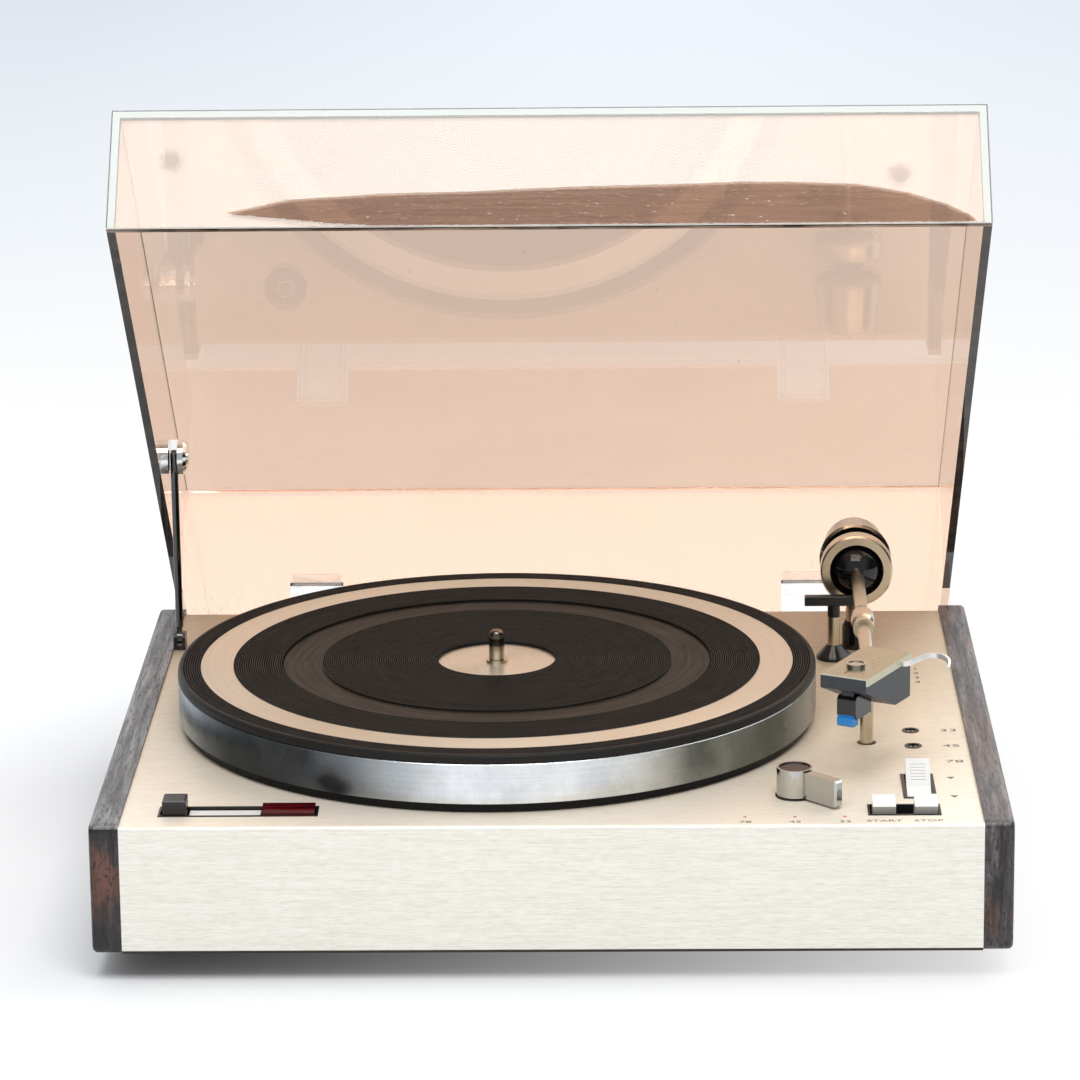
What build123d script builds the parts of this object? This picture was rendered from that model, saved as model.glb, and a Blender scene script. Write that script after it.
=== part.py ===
from build123d import *
import os
from math import atan2, cos, degrees, radians, sin

os.makedirs("parts", exist_ok=True)

# Record player with a tinted lid, wooden cheeks and a brushed deck, in millimetres.
# The origin is the middle of the record's seat on the mat. X points right, Y to the hinges, Z up.

# Driving dimensions of the platter
mat_radius = 143.4
mat_thickness = 3.6
rim_height = 18.0
skirt_height = 3.8
platter_gap = 0.6
spindle_radius = 3.575
spindle_height = 13.5

# Driving dimensions of the plinth
left_gap = 12.4
right_gap = 42.6
front_gap = 16.1
back_gap = 28.1
cheek_thickness = 12.7
cheek_height = 57.9
cheek_rise = 1.2
deck_thickness = 1.5
deck_setback = 8.6
base_thickness = 3.0
foot_height = 12.0
foot_radius = 14.0

# Driving dimensions of the tonearm, seen from its pivot
arm_gap = 22.8
arm_inset = 68.5
arm_z = 12.0
arm_angle_at_rest = -0.65
arm_tube_radius = 3.0
stylus_reach = 211.0
shell_back = 42.0
stylus_side = -10.8
stylus_height = 0.85
shell_angle = -26.85
ring_radius = 16.9

# Driving dimensions of the lid
lid_overhang = 6.85
lid_front_inset = 3.2
lid_height = 59.2
lid_wall = 3.8
lid_open_angle = 42.9
hinge_setback = 27.6
lid_gap = 0.4
lid_skirt = 15.0

# Clearances, and how far a cut runs past a wall
running = 0.05
loose = 0.3
overrun = 1.0

# Levels and edges that follow
deck_z = -(mat_thickness + rim_height + skirt_height + platter_gap)
deck_under = deck_z - deck_thickness
cheek_top = deck_z + cheek_rise
cheek_bottom = cheek_top - cheek_height
base_top = cheek_bottom + base_thickness
foot_bottom = cheek_bottom - foot_height
arm_x = mat_radius + arm_gap
inner_left = -(mat_radius + left_gap)
inner_right = arm_x + right_gap
inner_width = inner_right - inner_left
middle_x = (inner_left + inner_right) / 2
front_y = -(mat_radius + front_gap)
back_y = mat_radius + back_gap
deck_back = back_y - deck_setback
arm_y = back_y - arm_inset
hinge_z = cheek_top + lid_gap
lid_setback = deck_back + hinge_setback
lid_width = inner_width + 2 * lid_overhang
lid_depth = lid_setback - front_y - lid_front_inset

# Planes that follow the arm, the headshell and the lid
swing = radians(arm_angle_at_rest)
arm_ahead = (sin(swing), -cos(swing), 0)
arm_right = (cos(swing), sin(swing), 0)
arm_pivot = (arm_x, arm_y, arm_z)
arm_axis = Axis(arm_pivot, arm_ahead)
arm_front = Plane(origin=arm_pivot, x_dir=arm_right, z_dir=arm_ahead)
arm_top = Plane(origin=arm_pivot, x_dir=arm_right, z_dir=(0, 0, 1))
arm_side = Plane(origin=arm_pivot, x_dir=arm_ahead, z_dir=(-cos(swing), -sin(swing), 0))
stylus_point = arm_top.from_local_coords((stylus_side, -stylus_reach, 0))
shell_swing = radians(arm_angle_at_rest + shell_angle)
shell_right = (cos(shell_swing), sin(shell_swing), 0)
shell_origin = (stylus_point.X, stylus_point.Y, 0)
shell_floor = Plane(origin=shell_origin, x_dir=shell_right, z_dir=(0, 0, 1))
shell_side = Plane(origin=shell_origin, x_dir=(-sin(shell_swing), cos(shell_swing), 0), z_dir=shell_right)
tilt = radians(lid_open_angle)
lid_floor = Plane(origin=(middle_x, lid_setback, hinge_z), x_dir=(1, 0, 0), z_dir=(0, sin(tilt), cos(tilt)))
lid_side = Plane(origin=(0, lid_setback, hinge_z), x_dir=(0, cos(tilt), -sin(tilt)), z_dir=(1, 0, 0))

# Places of the controls, measured from the right edge, the left edge and the front edge
knob_inset = 78.6
knob_front = 39.5
key_frame_inset = 32.85
key_frame_front = 19.1
key_frame_width = 30.9
key_frame_depth = 14.2
cue_frame_inset = 25.1
cue_frame_front = 51.05
cue_frame_width = 14.2
cue_frame_depth = 33.1
power_frame_inset = 49.4
power_frame_front = 20.75
power_frame_width = 68.0
power_frame_depth = 13.1
trimmer_inset = 24.15
trimmer_front = 85.7
trimmer_pitch = 22.4
knob_x = inner_right - knob_inset
knob_y = front_y + knob_front
key_frame_x = inner_right - key_frame_inset
key_frame_y = front_y + key_frame_front
cue_frame_x = inner_right - cue_frame_inset
cue_frame_y = front_y + cue_frame_front
power_frame_x = inner_left + power_frame_inset
power_frame_y = front_y + power_frame_front
trimmer_x = inner_right - trimmer_inset
trimmer_ys = [front_y + trimmer_front + index * trimmer_pitch for index in range(3)]

# Frames around the controls: a lip on the deck and walls that drop through it
frame_rise = 0.4
frame_lip = 0.4
frame_drop = 6.0
frame_wall = 0.9
cue_frame_wall = 1.6
cue_frame_drop = 12.0
frame_floor = 1.0
frame_bottom = deck_z - frame_drop
frame_floor_top = frame_bottom + frame_floor

# Wooden cheeks, rounded where hands reach them
cheek_corner = 4.0
cheek_edge = 2.2
for cheek_name, cheek_x, side in (("left_cheek", inner_left, -1), ("right_cheek", inner_right, 1)):
    with BuildPart() as cheek:
        with BuildSketch(Plane.YZ.offset(cheek_x)):
            with Locations(((front_y + back_y) / 2, (cheek_top + cheek_bottom) / 2)):
                RectangleRounded(back_y - front_y, cheek_height, cheek_corner)
        extrude(amount=side * cheek_thickness)
        fillet(cheek.faces().sort_by(Axis.X)[0 if side < 0 else -1].edges(), radius=cheek_edge)
    cheek.part.label = cheek_name
    export_step(cheek.part, f"parts/{cheek_name}.step")

# Sizes that the deck's holes share with the pieces in them
housing_radius = 9.0
shaft_hole_radius = 4.0
pillar_radius = 4.9
post_radius = 3.0
post_hole_radius = 4.35
post_left = 1.9
post_gap = 20.3
post_reach = stylus_reach - shell_back - post_gap
post_x = arm_x - post_left
post_y = arm_y - post_reach
lifter_back = 18.5
lifter_left = 11.3
lifter_x = arm_x - lifter_left
lifter_y = arm_y - lifter_back
lifter_radius = 2.85
knob_shaft_radius = 3.0
knob_hole_radius = 3.4
trimmer_barrel = 3.3
well_radius = 10.75
well_flange = 0.8
well_inset = 45.3
well_ahead = 28.7
well_x = inner_left + well_inset
well_y = deck_back - well_ahead
motor_gap = 38.42
motor_reach = mat_radius - motor_gap
motor_angle = 220.0
motor_x = motor_reach * cos(radians(motor_angle))
motor_y = motor_reach * sin(radians(motor_angle))
apron_lift = 1.7
fold_radius = 1.8
deck_frames = (
    (key_frame_x, key_frame_y, key_frame_width, key_frame_depth),
    (cue_frame_x, cue_frame_y, cue_frame_width, cue_frame_depth),
    (power_frame_x, power_frame_y, power_frame_width, power_frame_depth),
)
deck_holes = (
    (0, 0, housing_radius + overrun),
    (motor_x, motor_y, shaft_hole_radius),
    (arm_x, arm_y, pillar_radius + loose),
    (post_x, post_y, post_hole_radius),
    (lifter_x, lifter_y, lifter_radius),
    (knob_x, knob_y, knob_hole_radius),
    (well_x, well_y, well_radius - well_flange),
    *[(trimmer_x, y, trimmer_barrel) for y in trimmer_ys],
)

# Brushed deck, folded down at the front into the apron
with BuildPart() as deck_plate:
    with BuildSketch(Plane.YZ.offset(inner_left)):
        with BuildLine():
            Polyline(
                (front_y, cheek_bottom + apron_lift),
                (front_y, deck_z),
                (deck_back, deck_z),
                (deck_back, deck_under),
                (front_y + deck_thickness, deck_under),
                (front_y + deck_thickness, cheek_bottom + apron_lift),
                close=True,
            )
        make_face()
    extrude(amount=inner_width)
    long_edges = deck_plate.edges().filter_by(Axis.X)
    outer_fold = long_edges.sort_by_distance((middle_x, front_y, deck_z))[0]
    inner_fold = long_edges.sort_by_distance((middle_x, front_y + deck_thickness, deck_under))[0]
    fillet(outer_fold, radius=fold_radius)
    fillet(inner_fold, radius=fold_radius - deck_thickness)
    with BuildSketch(Plane.XY.offset(deck_z + overrun)):
        for x, y, width, depth in deck_frames:
            with Locations((x, y)):
                Rectangle(width - 2 * frame_lip, depth - 2 * frame_lip)
        for x, y, radius in deck_holes:
            with Locations((x, y)):
                Circle(radius)
    extrude(amount=-(deck_thickness + 2 * overrun), mode=Mode.SUBTRACT)
deck_plate.part.label = "deck_plate"
export_step(deck_plate.part, "parts/deck_plate.step")

# Steel back with vents and two cord holes
panel_thickness = 2.0
vent_count = 8
vent_pitch = 7.0
vent_width = 3.0
vent_height = 22.0
vent_x = -12.0
grommet_z = -60.0
grommet_hole = 5.5
grommet_xs = (-56.0, 100.0)
panel_front = deck_back - panel_thickness
with BuildPart() as rear_panel:
    with BuildSketch(Plane.XZ.offset(-deck_back)):
        with Locations((middle_x, (deck_under + cheek_bottom) / 2)):
            Rectangle(inner_width, deck_under - cheek_bottom)
        with Locations(*[(vent_x + index * vent_pitch, grommet_z) for index in range(vent_count)]):
            SlotOverall(vent_height, vent_width, rotation=90, mode=Mode.SUBTRACT)
        with Locations(*[(x, grommet_z) for x in grommet_xs]):
            Circle(grommet_hole, mode=Mode.SUBTRACT)
    extrude(amount=panel_thickness)
rear_panel.part.label = "rear_panel"
export_step(rear_panel.part, "parts/rear_panel.step")

# Rubber bushes in the cord holes
grommet_flange = 8.0
grommet_bore = 3.0
grommet_lip = 1.5
with BuildPart() as cord_grommets:
    for x in grommet_xs:
        with BuildSketch(Plane.XZ.offset(-deck_back)):
            with Locations((x, grommet_z)):
                Circle(grommet_flange)
        extrude(amount=-grommet_lip)
        with BuildSketch(Plane.XZ.offset(-deck_back)):
            with Locations((x, grommet_z)):
                Circle(grommet_hole)
        extrude(amount=panel_thickness + grommet_lip)
        with BuildSketch(Plane.XZ.offset(-deck_back - grommet_lip)):
            with Locations((x, grommet_z)):
                Circle(grommet_bore)
        extrude(amount=panel_thickness + 2 * grommet_lip, mode=Mode.SUBTRACT)
cord_grommets.part.label = "cord_grommets"
export_step(cord_grommets.part, "parts/cord_grommets.step")

# Base board with vents under the middle
base_vent_count = 7
base_vent_pitch = 14.0
base_vent_length = 60.0
base_vent_width = 5.0
base_front = front_y + deck_thickness
with BuildPart() as base_board:
    with BuildSketch(Plane.XY.offset(cheek_bottom)):
        with Locations((middle_x, (base_front + panel_front) / 2)):
            Rectangle(inner_width, panel_front - base_front)
        first_vent = -(base_vent_count - 1) * base_vent_pitch / 2
        with Locations(*[(first_vent + index * base_vent_pitch, 0) for index in range(base_vent_count)]):
            SlotOverall(base_vent_length, base_vent_width, rotation=90, mode=Mode.SUBTRACT)
    extrude(amount=base_thickness)
base_board.part.label = "base_board"
export_step(base_board.part, "parts/base_board.step")

# Four rubber feet with screw recesses
foot_side_inset = 26.0
foot_end_inset = 64.0
foot_top_radius = 15.0
foot_screw = 4.0
foot_screw_depth = 8.0
foot_edge = 1.5
foot_places = [
    (x, y)
    for x in (inner_left + foot_side_inset, inner_right - foot_side_inset)
    for y in (front_y + foot_end_inset, deck_back - foot_end_inset)
]
with BuildPart() as feet:
    with Locations(*[(x, y, foot_bottom) for x, y in foot_places]):
        Cone(foot_radius, foot_top_radius, foot_height, align=(Align.CENTER, Align.CENTER, Align.MIN))
    chamfer(feet.edges().filter_by(GeomType.CIRCLE).group_by(Axis.Z)[0], length=foot_edge)
    with Locations(*[(x, y, foot_bottom) for x, y in foot_places]):
        Cylinder(
            foot_screw, foot_screw_depth, align=(Align.CENTER, Align.CENTER, Align.MIN), mode=Mode.SUBTRACT
        )
feet.part.label = "feet"
export_step(feet.part, "parts/feet.step")

# Hinge brackets on the back: two ears each, and a root plate
hinge_spread = 120.0
hinge_xs = (middle_x - hinge_spread, middle_x + hinge_spread)
ear_inset = 8.5
ear_thickness = 3.0
ear_radius = 4.0
pin_radius = 1.5
root_width = 34.0
root_height = 18.0
root_thickness = 2.0
root_z = -48.0
with BuildPart() as hinge_brackets:
    for x in hinge_xs:
        with BuildSketch(Plane.XZ.offset(-deck_back)):
            with Locations((x, root_z)):
                Rectangle(root_width, root_height)
        extrude(amount=-root_thickness)
        for ear_x in (x - ear_inset - ear_thickness, x + ear_inset):
            with BuildSketch(Plane.YZ.offset(ear_x)):
                with Locations((lid_setback, hinge_z)):
                    Circle(ear_radius)
                with Locations((deck_back + root_thickness / 2, root_z)):
                    Rectangle(root_thickness, root_height)
                make_hull()
            extrude(amount=ear_thickness)
            with BuildSketch(Plane.YZ.offset(ear_x - overrun)):
                with Locations((lid_setback, hinge_z)):
                    Circle(pin_radius + running)
            extrude(amount=ear_thickness + 2 * overrun, mode=Mode.SUBTRACT)
hinge_brackets.part.label = "hinge_brackets"
export_step(hinge_brackets.part, "parts/hinge_brackets.step")

# Fork on the deck that carries the lid stay
stay_ahead = 56.4
stay_y = deck_back - stay_ahead
stay_rise = 5.25
stay_inset = 2.8
stay_x = inner_left + stay_inset
stay_z = deck_z + stay_rise
eye_radius = 2.9
eye_half = 1.25
fork_wall = 1.4
fork_length = 8.0
fork_floor = 1.6
fork_pin = 1.2
fork_top = 2.4
fork_gap = 0.15
fork_half = eye_half + fork_gap
with BuildPart() as stay_foot:
    with BuildSketch(Plane.YZ.offset(stay_x - fork_half - fork_wall)):
        with Locations((stay_y, (deck_z + stay_z + fork_top) / 2)):
            Rectangle(fork_length, stay_z + fork_top - deck_z)
    extrude(amount=2 * fork_half + 2 * fork_wall)
    chamfer(stay_foot.edges().filter_by(Axis.X).group_by(Axis.Z)[-1], length=fork_wall)
    with BuildSketch(Plane.YZ.offset(stay_x - fork_half)):
        with Locations((stay_y, deck_z + fork_floor + fork_length / 2)):
            Rectangle(fork_length + 2 * overrun, fork_length)
    extrude(amount=2 * fork_half, mode=Mode.SUBTRACT)
    with BuildSketch(Plane.YZ.offset(stay_x - fork_half - fork_wall)):
        with Locations((stay_y, stay_z)):
            Circle(fork_pin + running)
    extrude(amount=2 * fork_half + 2 * fork_wall, mode=Mode.SUBTRACT)
stay_foot.part.label = "stay_foot"
export_step(stay_foot.part, "parts/stay_foot.step")

# Sub-chassis plate that ties the main bearing to the arm pillar and the arm rest
chassis_top = -44.0
chassis_thickness = 2.0
chassis_bottom = chassis_top - chassis_thickness
bearing_flange = 20.0
isolator_radius = 12.0
isolator_pad = 4.0
isolator_reaches = (83.2, 77.6)
isolator_angles = (122.7, -75.1)
arm_isolator_right = 21.8
arm_isolator_ahead = 41.0
isolator_places = [
    *[(r * cos(radians(a)), r * sin(radians(a))) for r, a in zip(isolator_reaches, isolator_angles)],
    (arm_x + arm_isolator_right, arm_y - arm_isolator_ahead),
]
pillar_flange = 12.0
post_flange = 9.0
with BuildPart() as sub_chassis:
    with BuildSketch(Plane.XY.offset(chassis_bottom)):
        Circle(bearing_flange + isolator_pad)
        with Locations((arm_x, arm_y)):
            Circle(pillar_flange + isolator_pad)
        with Locations((post_x, post_y)):
            Circle(post_flange)
        with Locations(*isolator_places):
            Circle(isolator_radius + isolator_pad)
        make_hull()
    extrude(amount=chassis_thickness)
    with BuildSketch(Plane.XY.offset(chassis_bottom)):
        Circle(housing_radius)
        with Locations((lifter_x, lifter_y)):
            Circle(lifter_radius + overrun)
    extrude(amount=chassis_thickness, mode=Mode.SUBTRACT)
sub_chassis.part.label = "sub_chassis"
export_step(sub_chassis.part, "parts/sub_chassis.step")

# Rubber isolators between the base board and the sub-chassis
isolator_waist = 8.0
isolator_end = 5.0
isolator_middle = (base_top + chassis_bottom) / 2
with BuildPart() as isolators:
    for x, y in isolator_places:
        with BuildSketch(Plane(origin=(x, y, 0), x_dir=(1, 0, 0), z_dir=(0, -1, 0))):
            with BuildLine():
                Polyline(
                    (isolator_radius, base_top + isolator_end),
                    (isolator_radius, base_top),
                    (0, base_top),
                    (0, chassis_bottom),
                    (isolator_radius, chassis_bottom),
                    (isolator_radius, chassis_bottom - isolator_end),
                    (isolator_waist, isolator_middle),
                    close=True,
                )
            make_face()
        revolve(axis=Axis((x, y, 0), (0, 0, 1)))
isolators.part.label = "isolators"
export_step(isolators.part, "parts/isolators.step")

# Main bearing housing, standing in the sub-chassis and reaching up through the deck
shaft_radius = 5.0
shaft_bottom = -60.0
housing_top = -25.0
housing_floor = 2.0
housing_flange = 3.0
with BuildPart() as bearing_housing:
    with BuildSketch(Plane.XZ):
        with BuildLine():
            Polyline(
                (0, shaft_bottom - loose),
                (shaft_radius + running, shaft_bottom - loose),
                (shaft_radius + running, housing_top),
                (housing_radius, housing_top),
                (housing_radius, chassis_top + housing_flange),
                (bearing_flange, chassis_top + housing_flange),
                (bearing_flange, chassis_top),
                (housing_radius, chassis_top),
                (housing_radius, shaft_bottom - housing_floor),
                (0, shaft_bottom - housing_floor),
                close=True,
            )
        make_face()
    revolve(axis=Axis.Z)
bearing_housing.part.label = "bearing_housing"
export_step(bearing_housing.part, "parts/bearing_housing.step")

# Drive motor, hung under the deck
motor_radius = 22.0
motor_height = 34.0
motor_edge = 2.0
motor_shaft = 1.5
motor_bearing_depth = 14.0
motor_axis = Axis((motor_x, motor_y, 0), (0, 0, 1))
motor_side = Plane(origin=(motor_x, motor_y, 0), x_dir=(1, 0, 0), z_dir=(0, -1, 0))
with BuildPart() as drive_motor:
    with BuildSketch(Plane.XY.offset(deck_under)):
        with Locations((motor_x, motor_y)):
            Circle(motor_radius)
    extrude(amount=-motor_height)
    chamfer(drive_motor.edges().filter_by(GeomType.CIRCLE).group_by(Axis.Z)[0], length=motor_edge)
    with BuildSketch(Plane.XY.offset(deck_under)):
        with Locations((motor_x, motor_y)):
            Circle(motor_shaft + running)
    extrude(amount=-motor_bearing_depth, mode=Mode.SUBTRACT)
drive_motor.part.label = "drive_motor"
export_step(drive_motor.part, "parts/drive_motor.step")

# Mains transformer: core with a coil around its middle
core_inset = 50.8
core_ahead = 54.9
core_x = inner_left + core_inset
core_y = deck_back - core_ahead
core_width = 50.0
core_depth = 20.0
core_height = 34.0
coil_width = 30.0
coil_depth = 34.0
coil_height = 22.0
coil_corner = 10.0
with BuildPart() as transformer:
    with BuildSketch(Plane.XY.offset(base_top)):
        with Locations((core_x, core_y)):
            Rectangle(core_width, core_depth)
    extrude(amount=core_height)
    with BuildSketch(Plane.XY.offset(base_top + (core_height - coil_height) / 2)):
        with Locations((core_x, core_y)):
            RectangleRounded(coil_width, coil_depth, coil_corner)
    extrude(amount=coil_height)
transformer.part.label = "transformer"
export_step(transformer.part, "parts/transformer.step")

# Black frames around the keys, the cue lever, the power switch and the trimmers
trimmer_ring = 3.85
trimmer_head = 2.4
trimmer_lip = 0.3
trimmer_depth = 3.0
stem_radius = 1.6
key_insets = (41.45, 23.65)
key_xs = [inner_right - inset for inset in key_insets]
cue_axis_front = 51.0
cue_axis_z = -32.7
cue_pin = 1.5
frame_table = (
    (*deck_frames[0], frame_wall, frame_drop),
    (*deck_frames[1], cue_frame_wall, cue_frame_drop),
    (*deck_frames[2], frame_wall, frame_drop),
)
with BuildPart() as control_frames:
    for x, y, width, depth, wall, drop in frame_table:
        with BuildSketch(Plane.XY.offset(deck_z)):
            with Locations((x, y)):
                Rectangle(width, depth)
        extrude(amount=frame_rise)
        with BuildSketch(Plane.XY.offset(deck_z - drop)):
            with Locations((x, y)):
                Rectangle(width - 2 * frame_lip, depth - 2 * frame_lip)
        extrude(amount=drop)
        with BuildSketch(Plane.XY.offset(deck_z + frame_rise)):
            with Locations((x, y)):
                Rectangle(width - 2 * wall, depth - 2 * wall)
        extrude(amount=-(frame_rise + drop), mode=Mode.SUBTRACT)
        if drop == frame_drop:
            with BuildSketch(Plane.XY.offset(frame_bottom)):
                with Locations((x, y)):
                    Rectangle(width - 2 * wall, depth - 2 * wall)
            extrude(amount=frame_floor)
    with BuildSketch(Plane.XY.offset(frame_bottom)):
        with Locations(*[(x, key_frame_y) for x in key_xs]):
            Circle(stem_radius + loose)
    extrude(amount=frame_floor, mode=Mode.SUBTRACT)
    with BuildSketch(Plane.YZ.offset(cue_frame_x - cue_frame_width)):
        with Locations((front_y + cue_axis_front, cue_axis_z)):
            Circle(cue_pin + running)
    extrude(amount=2 * cue_frame_width, mode=Mode.SUBTRACT)
    for y in trimmer_ys:
        with BuildSketch(Plane.XY.offset(deck_z)):
            with Locations((trimmer_x, y)):
                Circle(trimmer_ring)
                Circle(trimmer_head + running, mode=Mode.SUBTRACT)
        extrude(amount=trimmer_lip)
        with BuildSketch(Plane.XY.offset(deck_z - trimmer_depth)):
            with Locations((trimmer_x, y)):
                Circle(trimmer_barrel)
                Circle(trimmer_head + running, mode=Mode.SUBTRACT)
        extrude(amount=trimmer_depth)
control_frames.part.label = "control_frames"
export_step(control_frames.part, "parts/control_frames.step")

# Board under the deck with its posts, and the pots of the knob and the trimmers on it
board_top = -40.0
board_thickness = 1.6
board_width = 88.0
board_arm_width = 26.5
board_post_gap = 18.3
board_margin = 7.0
board_inset = 2.8
board_setback = 4.5
board_right = inner_right - board_inset
board_left = board_right - board_width
board_front = front_y + board_setback
board_step_x = board_right - board_arm_width
board_step_y = post_y - board_post_gap
board_back = trimmer_ys[-1] + board_margin
board_post = 2.4
board_post_inset = 4.0
board_posts = (
    (board_left + board_post_inset, board_front + board_post_inset),
    (board_left + board_post_inset, board_step_y - board_post_inset),
    (board_right - board_post_inset, board_front + board_post_inset),
    (board_right - board_post_inset, board_back - board_post_inset),
)
pot_size = 9.0
knob_pot_size = 16.0
pot_top = -32.0
stem_bottom = -37.0
trimmer_shaft = 1.2
with BuildPart() as circuit_board:
    with BuildSketch(Plane.XY.offset(board_top - board_thickness)):
        with BuildLine():
            Polyline(
                (board_left, board_front),
                (board_right, board_front),
                (board_right, board_back),
                (board_step_x, board_back),
                (board_step_x, board_step_y),
                (board_left, board_step_y),
                close=True,
            )
        make_face()
    extrude(amount=board_thickness)
    with BuildSketch(Plane.XY.offset(board_top)):
        with Locations(*board_posts):
            Circle(board_post)
    extrude(amount=deck_under - board_top)
    with BuildSketch(Plane.XY.offset(board_top)):
        with Locations((knob_x, knob_y)):
            RectangleRounded(knob_pot_size, knob_pot_size, board_post)
            Circle(knob_shaft_radius + running, mode=Mode.SUBTRACT)
        with Locations(*[(trimmer_x, y) for y in trimmer_ys]):
            Rectangle(pot_size, pot_size)
            Circle(trimmer_shaft + running, mode=Mode.SUBTRACT)
    extrude(amount=pot_top - board_top)
circuit_board.part.label = "circuit_board"
export_step(circuit_board.part, "parts/circuit_board.step")

# Switches that take the stems of the two keys, and the power switch under its frame
switch_depth = 12.0
switch_width = 14.0
power_switch_width = 34.0
power_switch_height = 10.0
with BuildPart() as switch_bodies:
    with BuildSketch(Plane.XY.offset(board_top)):
        with Locations(*[(x, key_frame_y) for x in key_xs]):
            Rectangle(switch_width, switch_depth)
            Circle(stem_radius + running, mode=Mode.SUBTRACT)
    extrude(amount=frame_bottom - board_top)
    with BuildSketch(Plane.XY.offset(frame_bottom)):
        with Locations((power_frame_x, power_frame_y)):
            Rectangle(power_switch_width, switch_depth)
    extrude(amount=-power_switch_height)
switch_bodies.part.label = "switch_bodies"
export_step(switch_bodies.part, "parts/switch_bodies.step")

# White strip and red ribbed lens beside the power slider
strip_half_depth = 4.7
strip_length = 30.2
strip_inset = 43.6
strip_x = inner_left + strip_inset
strip_top = -26.9
with BuildPart() as power_strip:
    with BuildSketch(Plane.XY.offset(frame_floor_top)):
        with Locations((strip_x, power_frame_y)):
            Rectangle(strip_length, 2 * strip_half_depth)
    extrude(amount=strip_top - frame_floor_top)
power_strip.part.label = "power_strip"
export_step(power_strip.part, "parts/power_strip.step")

lens_inset = 70.75
lens_x = inner_left + lens_inset
lens_length = 22.5
lens_half_depth = 5.2
lens_rise = 2.3
rib_pitch = 3.4
rib_groove = 1.0
with BuildPart() as pilot_lens:
    with BuildSketch(Plane.XY.offset(frame_floor_top)):
        with Locations((lens_x, power_frame_y)):
            Rectangle(lens_length, 2 * lens_half_depth)
    extrude(amount=deck_z + lens_rise - frame_floor_top)
    with BuildSketch(Plane.XY.offset(deck_z + lens_rise)):
        with Locations(*[(lens_x, power_frame_y + side * rib_pitch / 2) for side in (-1, 1)]):
            Rectangle(lens_length, rib_groove)
    extrude(amount=-rib_groove, mode=Mode.SUBTRACT)
pilot_lens.part.label = "pilot_lens"
export_step(pilot_lens.part, "parts/pilot_lens.step")

# Slotted trimmer screws, each with its shaft in a pot
trimmer_drop = 0.3
slot_width = 0.9
slot_depth = 0.9
for trimmer_name, y in zip(("trimmer_front", "trimmer_middle", "trimmer_rear"), trimmer_ys):
    with BuildPart() as trimmer:
        with BuildSketch(Plane.XY.offset(deck_z - trimmer_depth)):
            with Locations((trimmer_x, y)):
                Circle(trimmer_head)
        extrude(amount=trimmer_depth - trimmer_drop)
        with BuildSketch(Plane.XY.offset(stem_bottom)):
            with Locations((trimmer_x, y)):
                Circle(trimmer_shaft)
        extrude(amount=deck_z - trimmer_depth - stem_bottom)
        with BuildSketch(Plane.XY.offset(deck_z - trimmer_drop)):
            with Locations((trimmer_x, y)):
                Rectangle(slot_width, 2 * (trimmer_head + overrun))
        extrude(amount=-slot_depth, mode=Mode.SUBTRACT)
    trimmer.part.label = trimmer_name
    export_step(trimmer.part, f"parts/{trimmer_name}.step")

# Speed knob: a round body with a bevelled pointer, turning on its shaft
knob_radius = 7.8
washer_radius = 8.3
washer_height = 0.7
knob_height = 13.0
knob_recess = 1.2
knob_wall = 0.9
pointer_angle = -46.0
pointer_reach = 26.4
pointer_width = 4.8
pointer_drop = 0.5
pointer_bevel = 0.8
knob_bottom = deck_z + washer_height + loose
pointer_turn = radians(pointer_angle)
knob_side = Plane(
    origin=(knob_x, knob_y, knob_bottom), x_dir=(cos(pointer_turn), sin(pointer_turn), 0), z_dir=(0, 0, 1)
)
pointer_axis = Axis((knob_x, knob_y, 0), (cos(pointer_turn), sin(pointer_turn), 0))
with BuildPart() as speed_knob:
    with BuildSketch(knob_side):
        with Locations((pointer_reach / 2, 0)):
            Rectangle(pointer_reach, pointer_width)
    extrude(amount=deck_z + knob_height - knob_bottom - pointer_drop)
    chamfer(speed_knob.faces().sort_by(pointer_axis)[-1].edges(), length=pointer_bevel)
    with BuildSketch(knob_side):
        Circle(knob_radius)
    extrude(amount=deck_z + knob_height - knob_bottom)
    with BuildSketch(Plane.XY.offset(deck_z + knob_height)):
        with Locations((knob_x, knob_y)):
            Circle(knob_radius - knob_wall)
    extrude(amount=-knob_recess, mode=Mode.SUBTRACT)
    with BuildSketch(Plane.XY.offset(stem_bottom)):
        with Locations((knob_x, knob_y)):
            Circle(knob_shaft_radius)
    extrude(amount=knob_bottom - stem_bottom)
speed_knob.part.label = "speed_knob"
export_step(speed_knob.part, "parts/speed_knob.step")

# Start and stop keys: raised at the back, on a stem
key_width = 9.8
key_front = 15.3
key_depth = 10.0
key_low = 2.8
key_high = 5.1
key_bottom = -29.2
key_front_y = front_y + key_front
key_back_y = key_front_y + key_depth
key_ramp_shares = (0.16, 0.72)
key_height_shares = (0.22, 0.8)
for key_name, x in zip(("start_key", "stop_key"), key_xs):
    with BuildPart() as key:
        with BuildSketch(Plane.YZ.offset(x - key_width / 2)):
            with BuildLine():
                Polyline(
                    (key_front_y, key_bottom),
                    (key_front_y, deck_z + key_low),
                    *[
                        (key_front_y + key_depth * a, deck_z + key_low + (key_high - key_low) * b)
                        for a, b in zip(key_ramp_shares, key_height_shares)
                    ],
                    (key_back_y, deck_z + key_high),
                    (key_back_y, key_bottom),
                    close=True,
                )
            make_face()
        extrude(amount=key_width)
        with BuildSketch(Plane.XY.offset(stem_bottom)):
            with Locations((x, key_frame_y)):
                Circle(stem_radius)
        extrude(amount=key_bottom - stem_bottom)
    key.part.label = key_name
    export_step(key.part, f"parts/{key_name}.step")

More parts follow.
